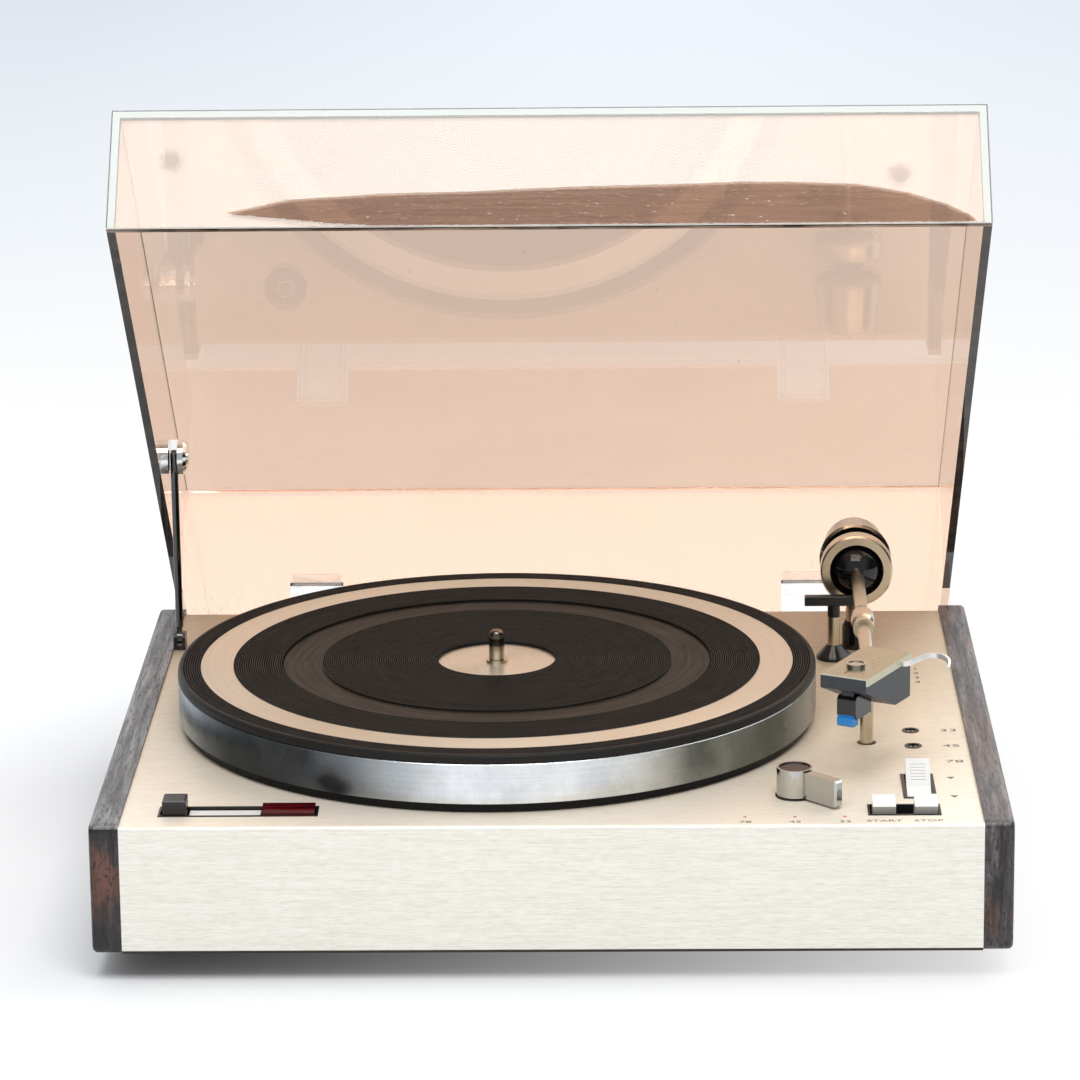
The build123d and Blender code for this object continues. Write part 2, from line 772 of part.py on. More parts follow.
# Power slider with a leg in front of and behind the white strip
slider_inset = 22.45
slider_x = inner_left + slider_inset
slider_width = 10.1
slider_half_depth = 5.35
slider_leg = 0.5
slider_rise = 6.7
slider_bevel = 0.5
slider_bottom = strip_top + loose
with BuildPart() as power_slider:
    with BuildSketch(Plane.XY.offset(slider_bottom)):
        with Locations((slider_x, power_frame_y)):
            Rectangle(slider_width, 2 * slider_half_depth)
    extrude(amount=deck_z + slider_rise - slider_bottom)
    chamfer(power_slider.faces().sort_by(Axis.Z)[-1].edges(), length=slider_bevel)
    with BuildSketch(Plane.XY.offset(frame_floor_top + loose)):
        for side in (-1, 1):
            with Locations((slider_x, power_frame_y + side * (slider_half_depth - slider_leg / 2))):
                Rectangle(slider_width, slider_leg)
    extrude(amount=slider_bottom - frame_floor_top - loose)
power_slider.part.label = "power_slider"
export_step(power_slider.part, "parts/power_slider.step")

# Cue lever: a rocker with a tilted paddle and ribbed grip
rocker_width = 10.4
rocker_radius = 3.2
rocker_pin_half = 6.5
grip_count = 6
grip_pitch = 1.6
grip_length = 6.6
grip_width = 0.5
grip_depth = 0.3
grip_start = 3.4
rocker_y = front_y + cue_axis_front
toe_reach = 10.2
toe_low = 4.1
toe_high = 5.3
toe_slope = 0.4
crook_reach = 1.4
crook_rise = 7.3
paddle_reach = 10.2
paddle_rise = 16.1
paddle_back_reach = 11.9
paddle_back_rise = 14.3
neck_reach = 3.4
neck_rise = 5.5
paddle_low = (rocker_y - crook_reach, cue_axis_z + crook_rise)
paddle_high = (rocker_y + paddle_reach, cue_axis_z + paddle_rise)
with BuildPart() as cue_lever:
    with BuildSketch(Plane.YZ.offset(cue_frame_x - rocker_width / 2)):
        with BuildLine():
            Polyline(
                (rocker_y - rocker_radius, cue_axis_z),
                (rocker_y - toe_reach, cue_axis_z + toe_low),
                (rocker_y - toe_reach + toe_slope, cue_axis_z + toe_high),
                paddle_low,
                paddle_high,
                (rocker_y + paddle_back_reach, cue_axis_z + paddle_back_rise),
                (rocker_y + neck_reach, cue_axis_z + neck_rise),
                (rocker_y + rocker_radius, cue_axis_z),
                close=True,
            )
        make_face()
        with Locations((rocker_y, cue_axis_z)):
            Circle(rocker_radius)
    extrude(amount=rocker_width)
    with BuildSketch(Plane.YZ.offset(cue_frame_x - rocker_pin_half)):
        with Locations((rocker_y, cue_axis_z)):
            Circle(cue_pin)
    extrude(amount=2 * rocker_pin_half)
    grip_angle = atan2(paddle_high[1] - paddle_low[1], paddle_high[0] - paddle_low[0])
    grip_face = Plane(
        origin=(cue_frame_x, *paddle_low), x_dir=(1, 0, 0), z_dir=(0, -sin(grip_angle), cos(grip_angle))
    )
    with BuildSketch(grip_face):
        with Locations(*[(0, grip_start + index * grip_pitch) for index in range(grip_count)]):
            Rectangle(grip_length, grip_width)
    extrude(amount=-grip_depth, mode=Mode.SUBTRACT)
cue_lever.part.label = "cue_lever"
export_step(cue_lever.part, "parts/cue_lever.step")

# Tonearm pillar on the sub-chassis, bored for the yaw shaft
pillar_top = -6.0
pillar_floor = -42.0
yaw_radius = 3.0
yaw_bottom = -41.0
pillar_step = 4.0
with BuildPart() as arm_pillar:
    with BuildSketch(Plane.XY.offset(chassis_top)):
        with Locations((arm_x, arm_y)):
            Circle(pillar_flange)
    extrude(amount=pillar_step)
    with BuildSketch(Plane.XY.offset(chassis_top)):
        with Locations((arm_x, arm_y)):
            Circle(pillar_radius)
    extrude(amount=pillar_top - chassis_top)
    with BuildSketch(Plane.XY.offset(pillar_floor)):
        with Locations((arm_x, arm_y)):
            Circle(yaw_radius + running)
    extrude(amount=pillar_top - pillar_floor, mode=Mode.SUBTRACT)
arm_pillar.part.label = "arm_pillar"
export_step(arm_pillar.part, "parts/arm_pillar.step")

# Lifter column with its flared base
lifter_column_top = -5.7
lifter_column_bottom = -52.0
lifter_rod = 1.5
lifter_base_radius = 8.0
lifter_base_rim = 1.5
lifter_base_neck = 3.4
lifter_base_height = 6.6
with BuildPart() as lifter_column:
    with BuildSketch(Plane.XY.offset(lifter_column_bottom)):
        with Locations((lifter_x, lifter_y)):
            Circle(lifter_radius)
            Circle(lifter_rod + running, mode=Mode.SUBTRACT)
    extrude(amount=lifter_column_top - lifter_column_bottom)
lifter_column.part.label = "lifter_column"
export_step(lifter_column.part, "parts/lifter_column.step")

# Black collars on the deck: round the pillar, round the lifter column and under the knob
cover_radius = 6.6
cover_shoulder = 11.0
cover_height = 13.0
cover_top_radius = 5.4
collar_profiles = (
    (
        arm_x,
        arm_y,
        (
            (pillar_radius + loose, 0),
            (cover_radius, 0),
            (cover_radius, cover_shoulder),
            (cover_top_radius, cover_height),
            (pillar_radius + loose, cover_height),
        ),
    ),
    (
        lifter_x,
        lifter_y,
        (
            (lifter_radius, 0),
            (lifter_base_radius, 0),
            (lifter_base_radius, lifter_base_rim),
            (lifter_base_neck, lifter_base_height),
            (lifter_radius, lifter_base_height),
        ),
    ),
    (
        knob_x,
        knob_y,
        (
            (knob_hole_radius, 0),
            (washer_radius, 0),
            (washer_radius, washer_height),
            (knob_hole_radius, washer_height),
        ),
    ),
)
with BuildPart() as deck_collars:
    for x, y, profile in collar_profiles:
        with BuildSketch(Plane(origin=(x, y, deck_z), x_dir=(1, 0, 0), z_dir=(0, -1, 0))):
            with BuildLine():
                Polyline(*profile, close=True)
            make_face()
        revolve(axis=Axis((x, y, 0), (0, 0, 1)))
deck_collars.part.label = "deck_collars"
export_step(deck_collars.part, "parts/deck_collars.step")

# Lifter bar on its sleeve, with a rod in the column
sleeve_radius = 2.9
sleeve_bottom = -5.4
bar_bottom = -0.25
bar_top = 4.35
bar_half = 13.6
bar_depth = 4.0
bar_edge = 0.5
lifter_rod_bottom = -44.0
with BuildPart() as lifter_bar:
    with BuildSketch(Plane.XY.offset(bar_bottom)):
        with Locations((lifter_x, lifter_y)):
            Rectangle(2 * bar_half, bar_depth)
    extrude(amount=bar_top - bar_bottom)
    chamfer(lifter_bar.faces().sort_by(Axis.Z)[-1].edges(), length=bar_edge)
    with BuildSketch(Plane.XY.offset(sleeve_bottom)):
        with Locations((lifter_x, lifter_y)):
            Circle(sleeve_radius)
    extrude(amount=bar_bottom - sleeve_bottom)
    with BuildSketch(Plane.XY.offset(lifter_rod_bottom)):
        with Locations((lifter_x, lifter_y)):
            Circle(lifter_rod)
    extrude(amount=sleeve_bottom - lifter_rod_bottom)
lifter_bar.part.label = "lifter_bar"
export_step(lifter_bar.part, "parts/lifter_bar.step")

# Arm rest: a post on the sub-chassis with a cradle and a stop on its right
cradle_bottom = 5.4
tube_x = arm_x + post_reach * sin(swing)
cradle_top = 8.7
cradle_half_width = 5.0
cradle_depth = 5.0
stop_top = 14.0
stop_width = 1.7
stop_edge = 0.6
with BuildPart() as arm_rest:
    with BuildSketch(Plane.XY.offset(chassis_top)):
        with Locations((post_x, post_y)):
            Circle(post_flange)
    extrude(amount=housing_flange)
    with BuildSketch(Plane.XY.offset(chassis_top)):
        with Locations((post_x, post_y)):
            Circle(post_radius)
    extrude(amount=cradle_bottom - chassis_top)
    with BuildSketch(Plane.XY.offset(cradle_bottom)):
        with Locations((tube_x, post_y)):
            Rectangle(2 * cradle_half_width, cradle_depth)
    extrude(amount=cradle_top - cradle_bottom)
    with BuildSketch(Plane.XY.offset(cradle_top)):
        with Locations((tube_x + cradle_half_width - stop_width / 2, post_y)):
            Rectangle(stop_width, cradle_depth)
    extrude(amount=stop_top - cradle_top)
    chamfer(arm_rest.faces().sort_by(Axis.Z)[-1].edges().filter_by(Axis.X), length=stop_edge)
arm_rest.part.label = "arm_rest"
export_step(arm_rest.part, "parts/arm_rest.step")

# Well in the deck's corner for the large-hole adapter, with its peg
well_depth = 10.0
well_wall = 1.2
peg_radius = 4.35
peg_rise = 1.0
with BuildPart() as adapter_well:
    with BuildSketch(Plane.XY.offset(deck_z)):
        with Locations((well_x, well_y)):
            Circle(well_radius)
    extrude(amount=frame_rise)
    with BuildSketch(Plane.XY.offset(deck_z - well_depth)):
        with Locations((well_x, well_y)):
            Circle(well_radius - well_flange)
    extrude(amount=well_depth)
    with BuildSketch(Plane.XY.offset(deck_z + frame_rise)):
        with Locations((well_x, well_y)):
            Circle(well_radius - well_flange - well_wall)
    extrude(amount=-(frame_rise + well_depth - well_wall), mode=Mode.SUBTRACT)
adapter_well.part.label = "adapter_well"
export_step(adapter_well.part, "parts/adapter_well.step")

with BuildPart() as adapter_peg:
    with BuildSketch(Plane.XY.offset(deck_z - well_depth + well_wall)):
        with Locations((well_x, well_y)):
            Circle(peg_radius)
            Circle(spindle_radius + running, mode=Mode.SUBTRACT)
    extrude(amount=well_depth - well_wall + peg_rise)
adapter_peg.part.label = "adapter_peg"
export_step(adapter_peg.part, "parts/adapter_peg.step")

# Gimbal ring with its boss and the yaw shaft
ring_inner = 12.6
ring_half = 4.5
ring_edge = 0.8
pitch_pin = 1.2
with BuildPart() as gimbal_ring:
    with BuildSketch(arm_front.offset(-ring_half)):
        Circle(ring_radius)
    extrude(amount=2 * ring_half)
    chamfer(gimbal_ring.edges().filter_by(GeomType.CIRCLE), length=ring_edge)
    with BuildSketch(Plane.XY.offset(pillar_top + loose)):
        with Locations((arm_x, arm_y)):
            Circle(pillar_radius)
    extrude(amount=arm_z - ring_radius / 2 - pillar_top - loose)
    with BuildSketch(arm_front.offset(-ring_radius)):
        Circle(ring_inner)
    extrude(amount=2 * ring_radius, mode=Mode.SUBTRACT)
    with BuildSketch(Plane.XY.offset(yaw_bottom)):
        with Locations((arm_x, arm_y)):
            Circle(yaw_radius)
    extrude(amount=pillar_top + loose - yaw_bottom)
    with BuildSketch(arm_side.offset(-ring_radius - overrun)):
        Circle(pitch_pin + running)
    extrude(amount=2 * (ring_radius + overrun), mode=Mode.SUBTRACT)
gimbal_ring.part.label = "gimbal_ring"
export_step(gimbal_ring.part, "parts/gimbal_ring.step")

# Hub in the ring: a glossy dome ahead, a cone and the weight's shaft behind, pins to both sides
hub_radius = 12.1
dome_reach = 10.0
hub_back = 4.0
hub_back_radius = 11.3
cone_back = 12.0
cone_radius = 6.0
weight_shaft = 2.0
weight_shaft_end = 46.0
pin_reach = 15.8
tube_start = 3.0
tube_inset = 29.0
tube_end = stylus_reach - tube_inset
with BuildPart() as arm_hub:
    with BuildSketch(arm_side):
        with BuildLine():
            TangentArc((dome_reach, 0), (0, hub_radius), tangent=(0, 1))
            Polyline(
                (0, hub_radius),
                (-hub_back, hub_back_radius),
                (-cone_back, cone_radius),
                (-cone_back, weight_shaft),
                (-weight_shaft_end, weight_shaft),
                (-weight_shaft_end, 0),
                (dome_reach, 0),
            )
        make_face()
    revolve(axis=arm_axis)
    with BuildSketch(arm_side.offset(-pin_reach)):
        Circle(pitch_pin)
    extrude(amount=2 * pin_reach)
    with BuildSketch(arm_front.offset(tube_start)):
        Circle(arm_tube_radius)
    extrude(amount=dome_reach, mode=Mode.SUBTRACT)
arm_hub.part.label = "arm_hub"
export_step(arm_hub.part, "parts/arm_hub.step")

with BuildPart() as arm_tube:
    with BuildSketch(arm_front.offset(tube_start)):
        Circle(arm_tube_radius)
    extrude(amount=tube_end - tube_start)
arm_tube.part.label = "arm_tube"
export_step(arm_tube.part, "parts/arm_tube.step")

# Counterweight: tapered, with a rimmed recess in its front face
weight_front = 16.5
weight_back = 41.5
weight_radius = 16.9
weight_tail = 14.2
weight_rim = 2.2
weight_recess = 1.6
weight_edge = 1.2
with BuildPart() as counterweight:
    with BuildSketch(arm_side):
        with BuildLine():
            Polyline(
                (-weight_front - weight_recess, weight_shaft + running),
                (-weight_front - weight_recess, weight_radius - weight_rim),
                (-weight_front, weight_radius - weight_rim),
                (-weight_front, weight_radius - weight_edge),
                (-weight_front - weight_edge, weight_radius),
                (-weight_back + weight_edge, weight_tail),
                (-weight_back, weight_tail - weight_edge),
                (-weight_back, weight_shaft + running),
                close=True,
            )
        make_face()
    revolve(axis=arm_axis)
counterweight.part.label = "counterweight"
export_step(counterweight.part, "parts/counterweight.step")

# Collar on the tube: a tail, a bulged body, a waist and a lip
collar_start = 74.0
collar_length = 27.0
collar_radius = 5.35
collar_level_shares = (0, 0.148, 0.259, 0.481, 0.667, 0.741, 0.815, 0.907, 1)
collar_radius_shares = (0.654, 0.729, 0.953, 1, 0.935, 0.766, 0.766, 0.879, 0.879)
with BuildPart() as tube_collar:
    with BuildSketch(arm_side):
        with BuildLine():
            Polyline(
                (collar_start, arm_tube_radius + running),
                *[
                    (collar_start + collar_length * a, collar_radius * b)
                    for a, b in zip(collar_level_shares, collar_radius_shares)
                ],
                (collar_start + collar_length, arm_tube_radius + running),
                close=True,
            )
        make_face()
    revolve(axis=arm_axis)
tube_collar.part.label = "tube_collar"
export_step(tube_collar.part, "parts/tube_collar.step")

# Headshell body: a wedge that is deep at the tube and thin over the stylus
shell_front = -3.6
shell_left = -11.0
shell_right_side = 10.4
shell_top = 23.65
shell_low_front = 18.05
shell_low_back = 4.55
shell_knee = 26.8
plate_top = 24.45
plate_thickness = 0.8
plate_fold = 3.4
shell_socket = 60.0
screw_side = -1.5
screw_back = 12.0
screw_stem = 1.5
screw_stem_bottom = 17.0
with BuildPart() as headshell_body:
    with BuildSketch(shell_side.offset(shell_left)):
        with BuildLine():
            Polyline(
                (shell_front, shell_low_front),
                (shell_front, shell_top),
                (shell_back, shell_top),
                (shell_back, shell_low_back),
                (shell_knee, shell_low_back),
                close=True,
            )
        make_face()
    extrude(amount=shell_right_side - shell_left)
    with BuildSketch(arm_front.offset(tube_end - shell_socket)):
        Circle(arm_tube_radius)
    extrude(amount=shell_socket, mode=Mode.SUBTRACT)
    with BuildSketch(shell_floor.offset(shell_top)):
        with Locations((screw_side, screw_back)):
            Circle(screw_stem)
    extrude(amount=screw_stem_bottom - shell_top, mode=Mode.SUBTRACT)
headshell_body.part.label = "headshell_body"
export_step(headshell_body.part, "parts/headshell_body.step")

# Champagne plate over the headshell, folded down on the right, with a slot ahead of the screw
slot_half = 0.25
slot_front = 0.4
with BuildPart() as headshell_plate:
    with BuildSketch(shell_side.offset(shell_left)):
        with Locations(((shell_front + shell_back) / 2, plate_top - plate_thickness / 2)):
            Rectangle(shell_back - shell_front, plate_thickness)
    extrude(amount=shell_right_side + plate_thickness - shell_left)
    with BuildSketch(shell_side.offset(shell_right_side)):
        with Locations(((shell_front + shell_back) / 2, plate_top - plate_fold / 2)):
            Rectangle(shell_back - shell_front, plate_fold)
    extrude(amount=plate_thickness)
    with BuildSketch(shell_floor.offset(plate_top)):
        with Locations((screw_side, screw_back)):
            Circle(screw_stem)
        with Locations((screw_side, (slot_front + screw_back) / 2)):
            Rectangle(2 * slot_half, screw_back - slot_front)
    extrude(amount=-plate_thickness, mode=Mode.SUBTRACT)
headshell_plate.part.label = "headshell_plate"
export_step(headshell_plate.part, "parts/headshell_plate.step")

# Chrome screw with a dished top
screw_radius = 4.3
screw_rise = 3.0
screw_wall = 0.8
screw_dish = 0.7
screw_groove = 0.4
with BuildPart() as headshell_screw:
    with BuildSketch(shell_floor.offset(plate_top)):
        with Locations((screw_side, screw_back)):
            Circle(screw_radius)
    extrude(amount=screw_rise)
    with BuildSketch(shell_floor.offset(plate_top + screw_rise / 2)):
        with Locations((screw_side, screw_back)):
            Circle(screw_radius)
            Circle(screw_radius - screw_groove, mode=Mode.SUBTRACT)
    extrude(amount=screw_groove, mode=Mode.SUBTRACT)
    with BuildSketch(shell_floor.offset(plate_top + screw_rise)):
        with Locations((screw_side, screw_back)):
            Circle(screw_radius - screw_wall)
    extrude(amount=-screw_dish, mode=Mode.SUBTRACT)
    with BuildSketch(shell_floor.offset(screw_stem_bottom)):
        with Locations((screw_side, screw_back)):
            Circle(screw_stem)
    extrude(amount=plate_top - screw_stem_bottom)
headshell_screw.part.label = "headshell_screw"
export_step(headshell_screw.part, "parts/headshell_screw.step")

# Finger lift: a flat strip that rises from the plate's fold and hooks forward
lift_root = shell_right_side + plate_thickness
lift_back = 32.0
lift_level = 21.9
lift_span = 19.0
lift_side_shares = (0, 0.2526, 0.5, 0.7579, 0.9474, 1)
lift_back_shares = (0, 0.3474, 0.6526, 0.6316, 0.4684, 0.2947)
lift_rise_shares = (0, 0.0526, 0.0895, 0.0789, 0.0158, -0.0579)
lift_width = 2.2
lift_thickness = 0.9
lift_path_points = [
    shell_floor.from_local_coords(
        (lift_root + lift_span * a, lift_back + lift_span * b, lift_level + lift_span * c)
    )
    for a, b, c in zip(lift_side_shares, lift_back_shares, lift_rise_shares)
]
lift_tangents = (Vector(*shell_right), lift_path_points[-1] - lift_path_points[-2])
with BuildPart() as finger_lift:
    with BuildLine() as lift_path:
        Spline(*lift_path_points, tangents=lift_tangents)
    with BuildSketch(Plane(origin=lift_path.line @ 0, z_dir=lift_path.line % 0, x_dir=(0, 0, 1))):
        Rectangle(lift_width, lift_thickness)
    sweep(path=lift_path.line)
finger_lift.part.label = "finger_lift"
export_step(finger_lift.part, "parts/finger_lift.step")

# Cartridge with bevelled sides under the wedge, hung by its bracket
cartridge_half = 4.4
cartridge_front = -1.0
cartridge_back = 15.0
cartridge_low = 4.2
cartridge_high = 14.4
cartridge_bevel = 1.3
cartridge_chin = 2.0
bracket_half = 2.8
bracket_front = 0.4
shell_slope = (shell_low_front - shell_low_back) / (shell_knee - shell_front)
slope_meet = shell_front + (shell_low_front - cartridge_high) / shell_slope
back_high = shell_low_front - (cartridge_back - shell_front) * shell_slope
bracket_high = shell_low_front - (bracket_front - shell_front) * shell_slope
with BuildPart() as cartridge:
    with BuildSketch(shell_side.offset(-cartridge_half)):
        with BuildLine():
            Polyline(
                (cartridge_front, cartridge_low + cartridge_chin),
                (cartridge_front, cartridge_high - cartridge_bevel),
                (cartridge_front + cartridge_bevel, cartridge_high),
                (slope_meet, cartridge_high),
                (cartridge_back, back_high),
                (cartridge_back, cartridge_low),
                (cartridge_front + cartridge_chin, cartridge_low),
                close=True,
            )
        make_face()
    extrude(amount=2 * cartridge_half)
    with BuildSketch(shell_side.offset(-bracket_half)):
        with BuildLine():
            Polyline(
                (bracket_front, cartridge_high),
                (bracket_front, bracket_high),
                (slope_meet, cartridge_high),
                close=True,
            )
        make_face()
    extrude(amount=2 * bracket_half)
cartridge.part.label = "cartridge"
export_step(cartridge.part, "parts/cartridge.step")

# Stylus: a blue guard under the cartridge, the cantilever and the tip
guard_half = 3.65
guard_front = -2.6
guard_back = 3.4
guard_low = 1.3
guard_high = 5.4
guard_slope = 1.2
tip_radius = 0.35
with BuildPart() as stylus:
    with BuildSketch(shell_side.offset(-guard_half)):
        with BuildLine():
            Polyline(
                (guard_front, guard_low + guard_slope),
                (guard_front, guard_high),
                (cartridge_front, guard_high),
                (cartridge_front, cartridge_low + cartridge_chin),
                (cartridge_front + cartridge_chin, cartridge_low),
                (guard_back, cartridge_low),
                (guard_back, guard_low),
                (guard_front + guard_slope, guard_low),
                close=True,
            )
        make_face()
    extrude(amount=2 * guard_half)
    with BuildSketch(shell_floor.offset(stylus_height)):
        Circle(tip_radius / 2)
    with BuildSketch(shell_floor.offset(guard_low)):
        Circle(2 * tip_radius)
    loft()
stylus.part.label = "stylus"
export_step(stylus.part, "parts/stylus.step")

# Platter: a cup with a thick web, turned from one casting
cup_wall = 4.4
web_thickness = 4.0
cup_top = -mat_thickness
cup_bottom = cup_top - rim_height
web_under = cup_top - web_thickness
cup_edge = 0.8
with BuildPart() as platter:
    with BuildSketch(Plane.XZ):
        with BuildLine():
            Polyline(
                (shaft_radius, cup_top),
                (mat_radius - cup_edge, cup_top),
                (mat_radius, cup_top - cup_edge),
                (mat_radius, cup_bottom),
                (mat_radius - cup_wall, cup_bottom),
                (mat_radius - cup_wall, web_under),
                (shaft_radius, web_under),
                close=True,
            )
        make_face()
    revolve(axis=Axis.Z)
platter.part.label = "platter"
export_step(platter.part, "parts/platter.step")

# Black ring under the rim
skirt_inset = 2.0
skirt_wall = 4.0
skirt_radius = mat_radius - skirt_inset
with BuildPart() as platter_skirt:
    with BuildSketch(Plane.XY.offset(cup_bottom - skirt_height)):
        Circle(skirt_radius)
        Circle(skirt_radius - skirt_wall, mode=Mode.SUBTRACT)
    extrude(amount=skirt_height)
platter_skirt.part.label = "platter_skirt"
export_step(platter_skirt.part, "parts/platter_skirt.step")

# Rubber mat with a rolled edge, a seat for the metal ring and a smooth sunk band
mat_edge_reach = 3.0
ring_outer_share = 0.928
ring_inner_share = 0.826
sunk_outer_share = 0.670
sunk_inner_share = 0.549
ring_seat_outer = mat_radius * ring_outer_share
ring_seat_inner = mat_radius * ring_inner_share
ring_seat_depth = 1.2
sunk_outer = mat_radius * sunk_outer_share
sunk_inner = mat_radius * sunk_inner_share
sunk_depth = 0.9
centre_radius = 26.3
with BuildPart() as rubber_mat:
    with BuildSketch(Plane.XZ):
        with BuildLine():
            Line((mat_radius - mat_edge_reach, 0), (ring_seat_outer, 0))
            Polyline(
                (ring_seat_outer, 0),
                (ring_seat_outer, -ring_seat_depth),
                (ring_seat_inner, -ring_seat_depth),
                (ring_seat_inner, 0),
                (sunk_outer, 0),
                (sunk_outer, -sunk_depth),
                (sunk_inner, -sunk_depth),
                (sunk_inner, 0),
                (centre_radius, 0),
                (centre_radius, cup_top),
                (mat_radius, cup_top),
            )
            TangentArc((mat_radius, cup_top), (mat_radius - mat_edge_reach, 0), tangent=(0, 1))
        make_face()
    revolve(axis=Axis.Z)
rubber_mat.part.label = "rubber_mat"
export_step(rubber_mat.part, "parts/rubber_mat.step")

# Metal ring and centre plate let into the mat
ring_drop = 0.2
centre_drop = 1.2
with BuildPart() as mat_rings:
    with BuildSketch(Plane.XY.offset(-ring_seat_depth)):
        Circle(ring_seat_outer)
        Circle(ring_seat_inner, mode=Mode.SUBTRACT)
    extrude(amount=ring_seat_depth - ring_drop)
    with BuildSketch(Plane.XY.offset(cup_top)):
        Circle(centre_radius)
        Circle(shaft_radius, mode=Mode.SUBTRACT)
    extrude(amount=mat_thickness - centre_drop)
mat_rings.part.label = "mat_rings"
export_step(mat_rings.part, "parts/mat_rings.step")

# Sub-platter with the belt's track between two flanges
sub_flange = 70.0
sub_track = 68.0
sub_rim_wall = 4.0
sub_hub = 12.0
sub_bottom = -24.0
track_low = -20.0
track_high = -12.0
with BuildPart() as sub_platter:
    with BuildSketch(Plane.XZ):
        with BuildLine():
            Polyline(
                (shaft_radius, web_under),
                (sub_flange, web_under),
                (sub_flange, track_high),
                (sub_track, track_high),
                (sub_track, track_low),
                (sub_flange, track_low),
                (sub_flange, sub_bottom),
                (sub_track - sub_rim_wall, sub_bottom),
                (sub_track - sub_rim_wall, track_high),
                (sub_hub, track_high),
                (sub_hub, sub_bottom),
                (shaft_radius, sub_bottom),
                close=True,
            )
        make_face()
    revolve(axis=Axis.Z)
sub_platter.part.label = "sub_platter"
export_step(sub_platter.part, "parts/sub_platter.step")

# Spindle with its shoulder, its cone and the main bearing shaft
cone_start = 6.5
cone_tip = 1.3
with BuildPart() as spindle:
    with BuildSketch(Plane.XZ):
        with BuildLine():
            Polyline(
                (0, shaft_bottom),
                (shaft_radius, shaft_bottom),
                (shaft_radius, -centre_drop),
                (spindle_radius, -centre_drop),
                (spindle_radius, cone_start),
                (cone_tip, spindle_height),
                (0, spindle_height),
                close=True,
            )
        make_face()
    revolve(axis=Axis.Z)
spindle.part.label = "spindle"
export_step(spindle.part, "parts/spindle.step")

# Motor pulley with its shaft in the motor's bearing
pulley_track = 6.0
pulley_flange = 8.0
pulley_rim = 2.0
shaft_depth = 13.0
with BuildPart() as motor_pulley:
    with BuildSketch(motor_side):
        with BuildLine():
            Polyline(
                (0, track_high + pulley_rim),
                (pulley_flange, track_high + pulley_rim),
                (pulley_flange, track_high),
                (pulley_track, track_high),
                (pulley_track, track_low),
                (pulley_flange, track_low),
                (pulley_flange, track_low - pulley_rim),
                (motor_shaft, track_low - pulley_rim),
                (motor_shaft, deck_under - shaft_depth),
                (0, deck_under - shaft_depth),
                close=True,
            )
        make_face()
    revolve(axis=motor_axis)
motor_pulley.part.label = "motor_pulley"
export_step(motor_pulley.part, "parts/motor_pulley.step")

# Flat belt around the sub-platter and the pulley
belt_thickness = 1.0
belt_height = 5.0
belt_bottom = (track_low + track_high - belt_height) / 2
with BuildPart() as drive_belt:
    for band, belt_mode in ((loose + belt_thickness, Mode.ADD), (loose, Mode.SUBTRACT)):
        with BuildSketch(Plane.XY.offset(belt_bottom)):
            Circle(sub_track + band)
            with Locations((motor_x, motor_y)):
                Circle(pulley_track + band)
            make_hull()
        extrude(amount=belt_height, mode=belt_mode)
drive_belt.part.label = "drive_belt"
export_step(drive_belt.part, "parts/drive_belt.step")

# Tinted lid: five plates glued edge to edge
lid_half = lid_width / 2
lid_inside = lid_width - 2 * lid_wall
lid_middle = -lid_depth / 2
with BuildPart() as lid_top:
    with BuildSketch(lid_floor.offset(lid_height)):
        with Locations((0, lid_middle)):
            Rectangle(lid_inside, lid_depth - 2 * lid_wall)
    extrude(amount=-lid_wall)
lid_top.part.label = "lid_top"
export_step(lid_top.part, "parts/lid_top.step")

with BuildPart() as lid_front_wall:
    with BuildSketch(lid_floor):
        with Locations((0, -lid_depth + lid_wall / 2)):
            Rectangle(lid_width, lid_wall)
    extrude(amount=lid_height)
lid_front_wall.part.label = "lid_front_wall"
export_step(lid_front_wall.part, "parts/lid_front_wall.step")

notch_half = 13.0
notch_top = 5.0
with BuildPart() as lid_back_wall:
    with BuildSketch(lid_floor.offset(-lid_skirt)):
        with Locations((0, -lid_wall / 2)):
            Rectangle(lid_width, lid_wall)
    extrude(amount=lid_height + lid_skirt)
    with BuildSketch(lid_floor.offset(-lid_skirt)):
        with Locations(*[(side * hinge_spread, -lid_wall / 2) for side in (-1, 1)]):
            Rectangle(2 * notch_half, 2 * lid_wall)
    extrude(amount=lid_skirt + notch_top, mode=Mode.SUBTRACT)
lid_back_wall.part.label = "lid_back_wall"
export_step(lid_back_wall.part, "parts/lid_back_wall.step")

with BuildPart() as lid_side_walls:
    with BuildSketch(lid_floor):
        with Locations(*[(side * (lid_half - lid_wall / 2), lid_middle) for side in (-1, 1)]):
            Rectangle(lid_wall, lid_depth - 2 * lid_wall)
    extrude(amount=lid_height)
lid_side_walls.part.label = "lid_side_walls"
export_step(lid_side_walls.part, "parts/lid_side_walls.step")

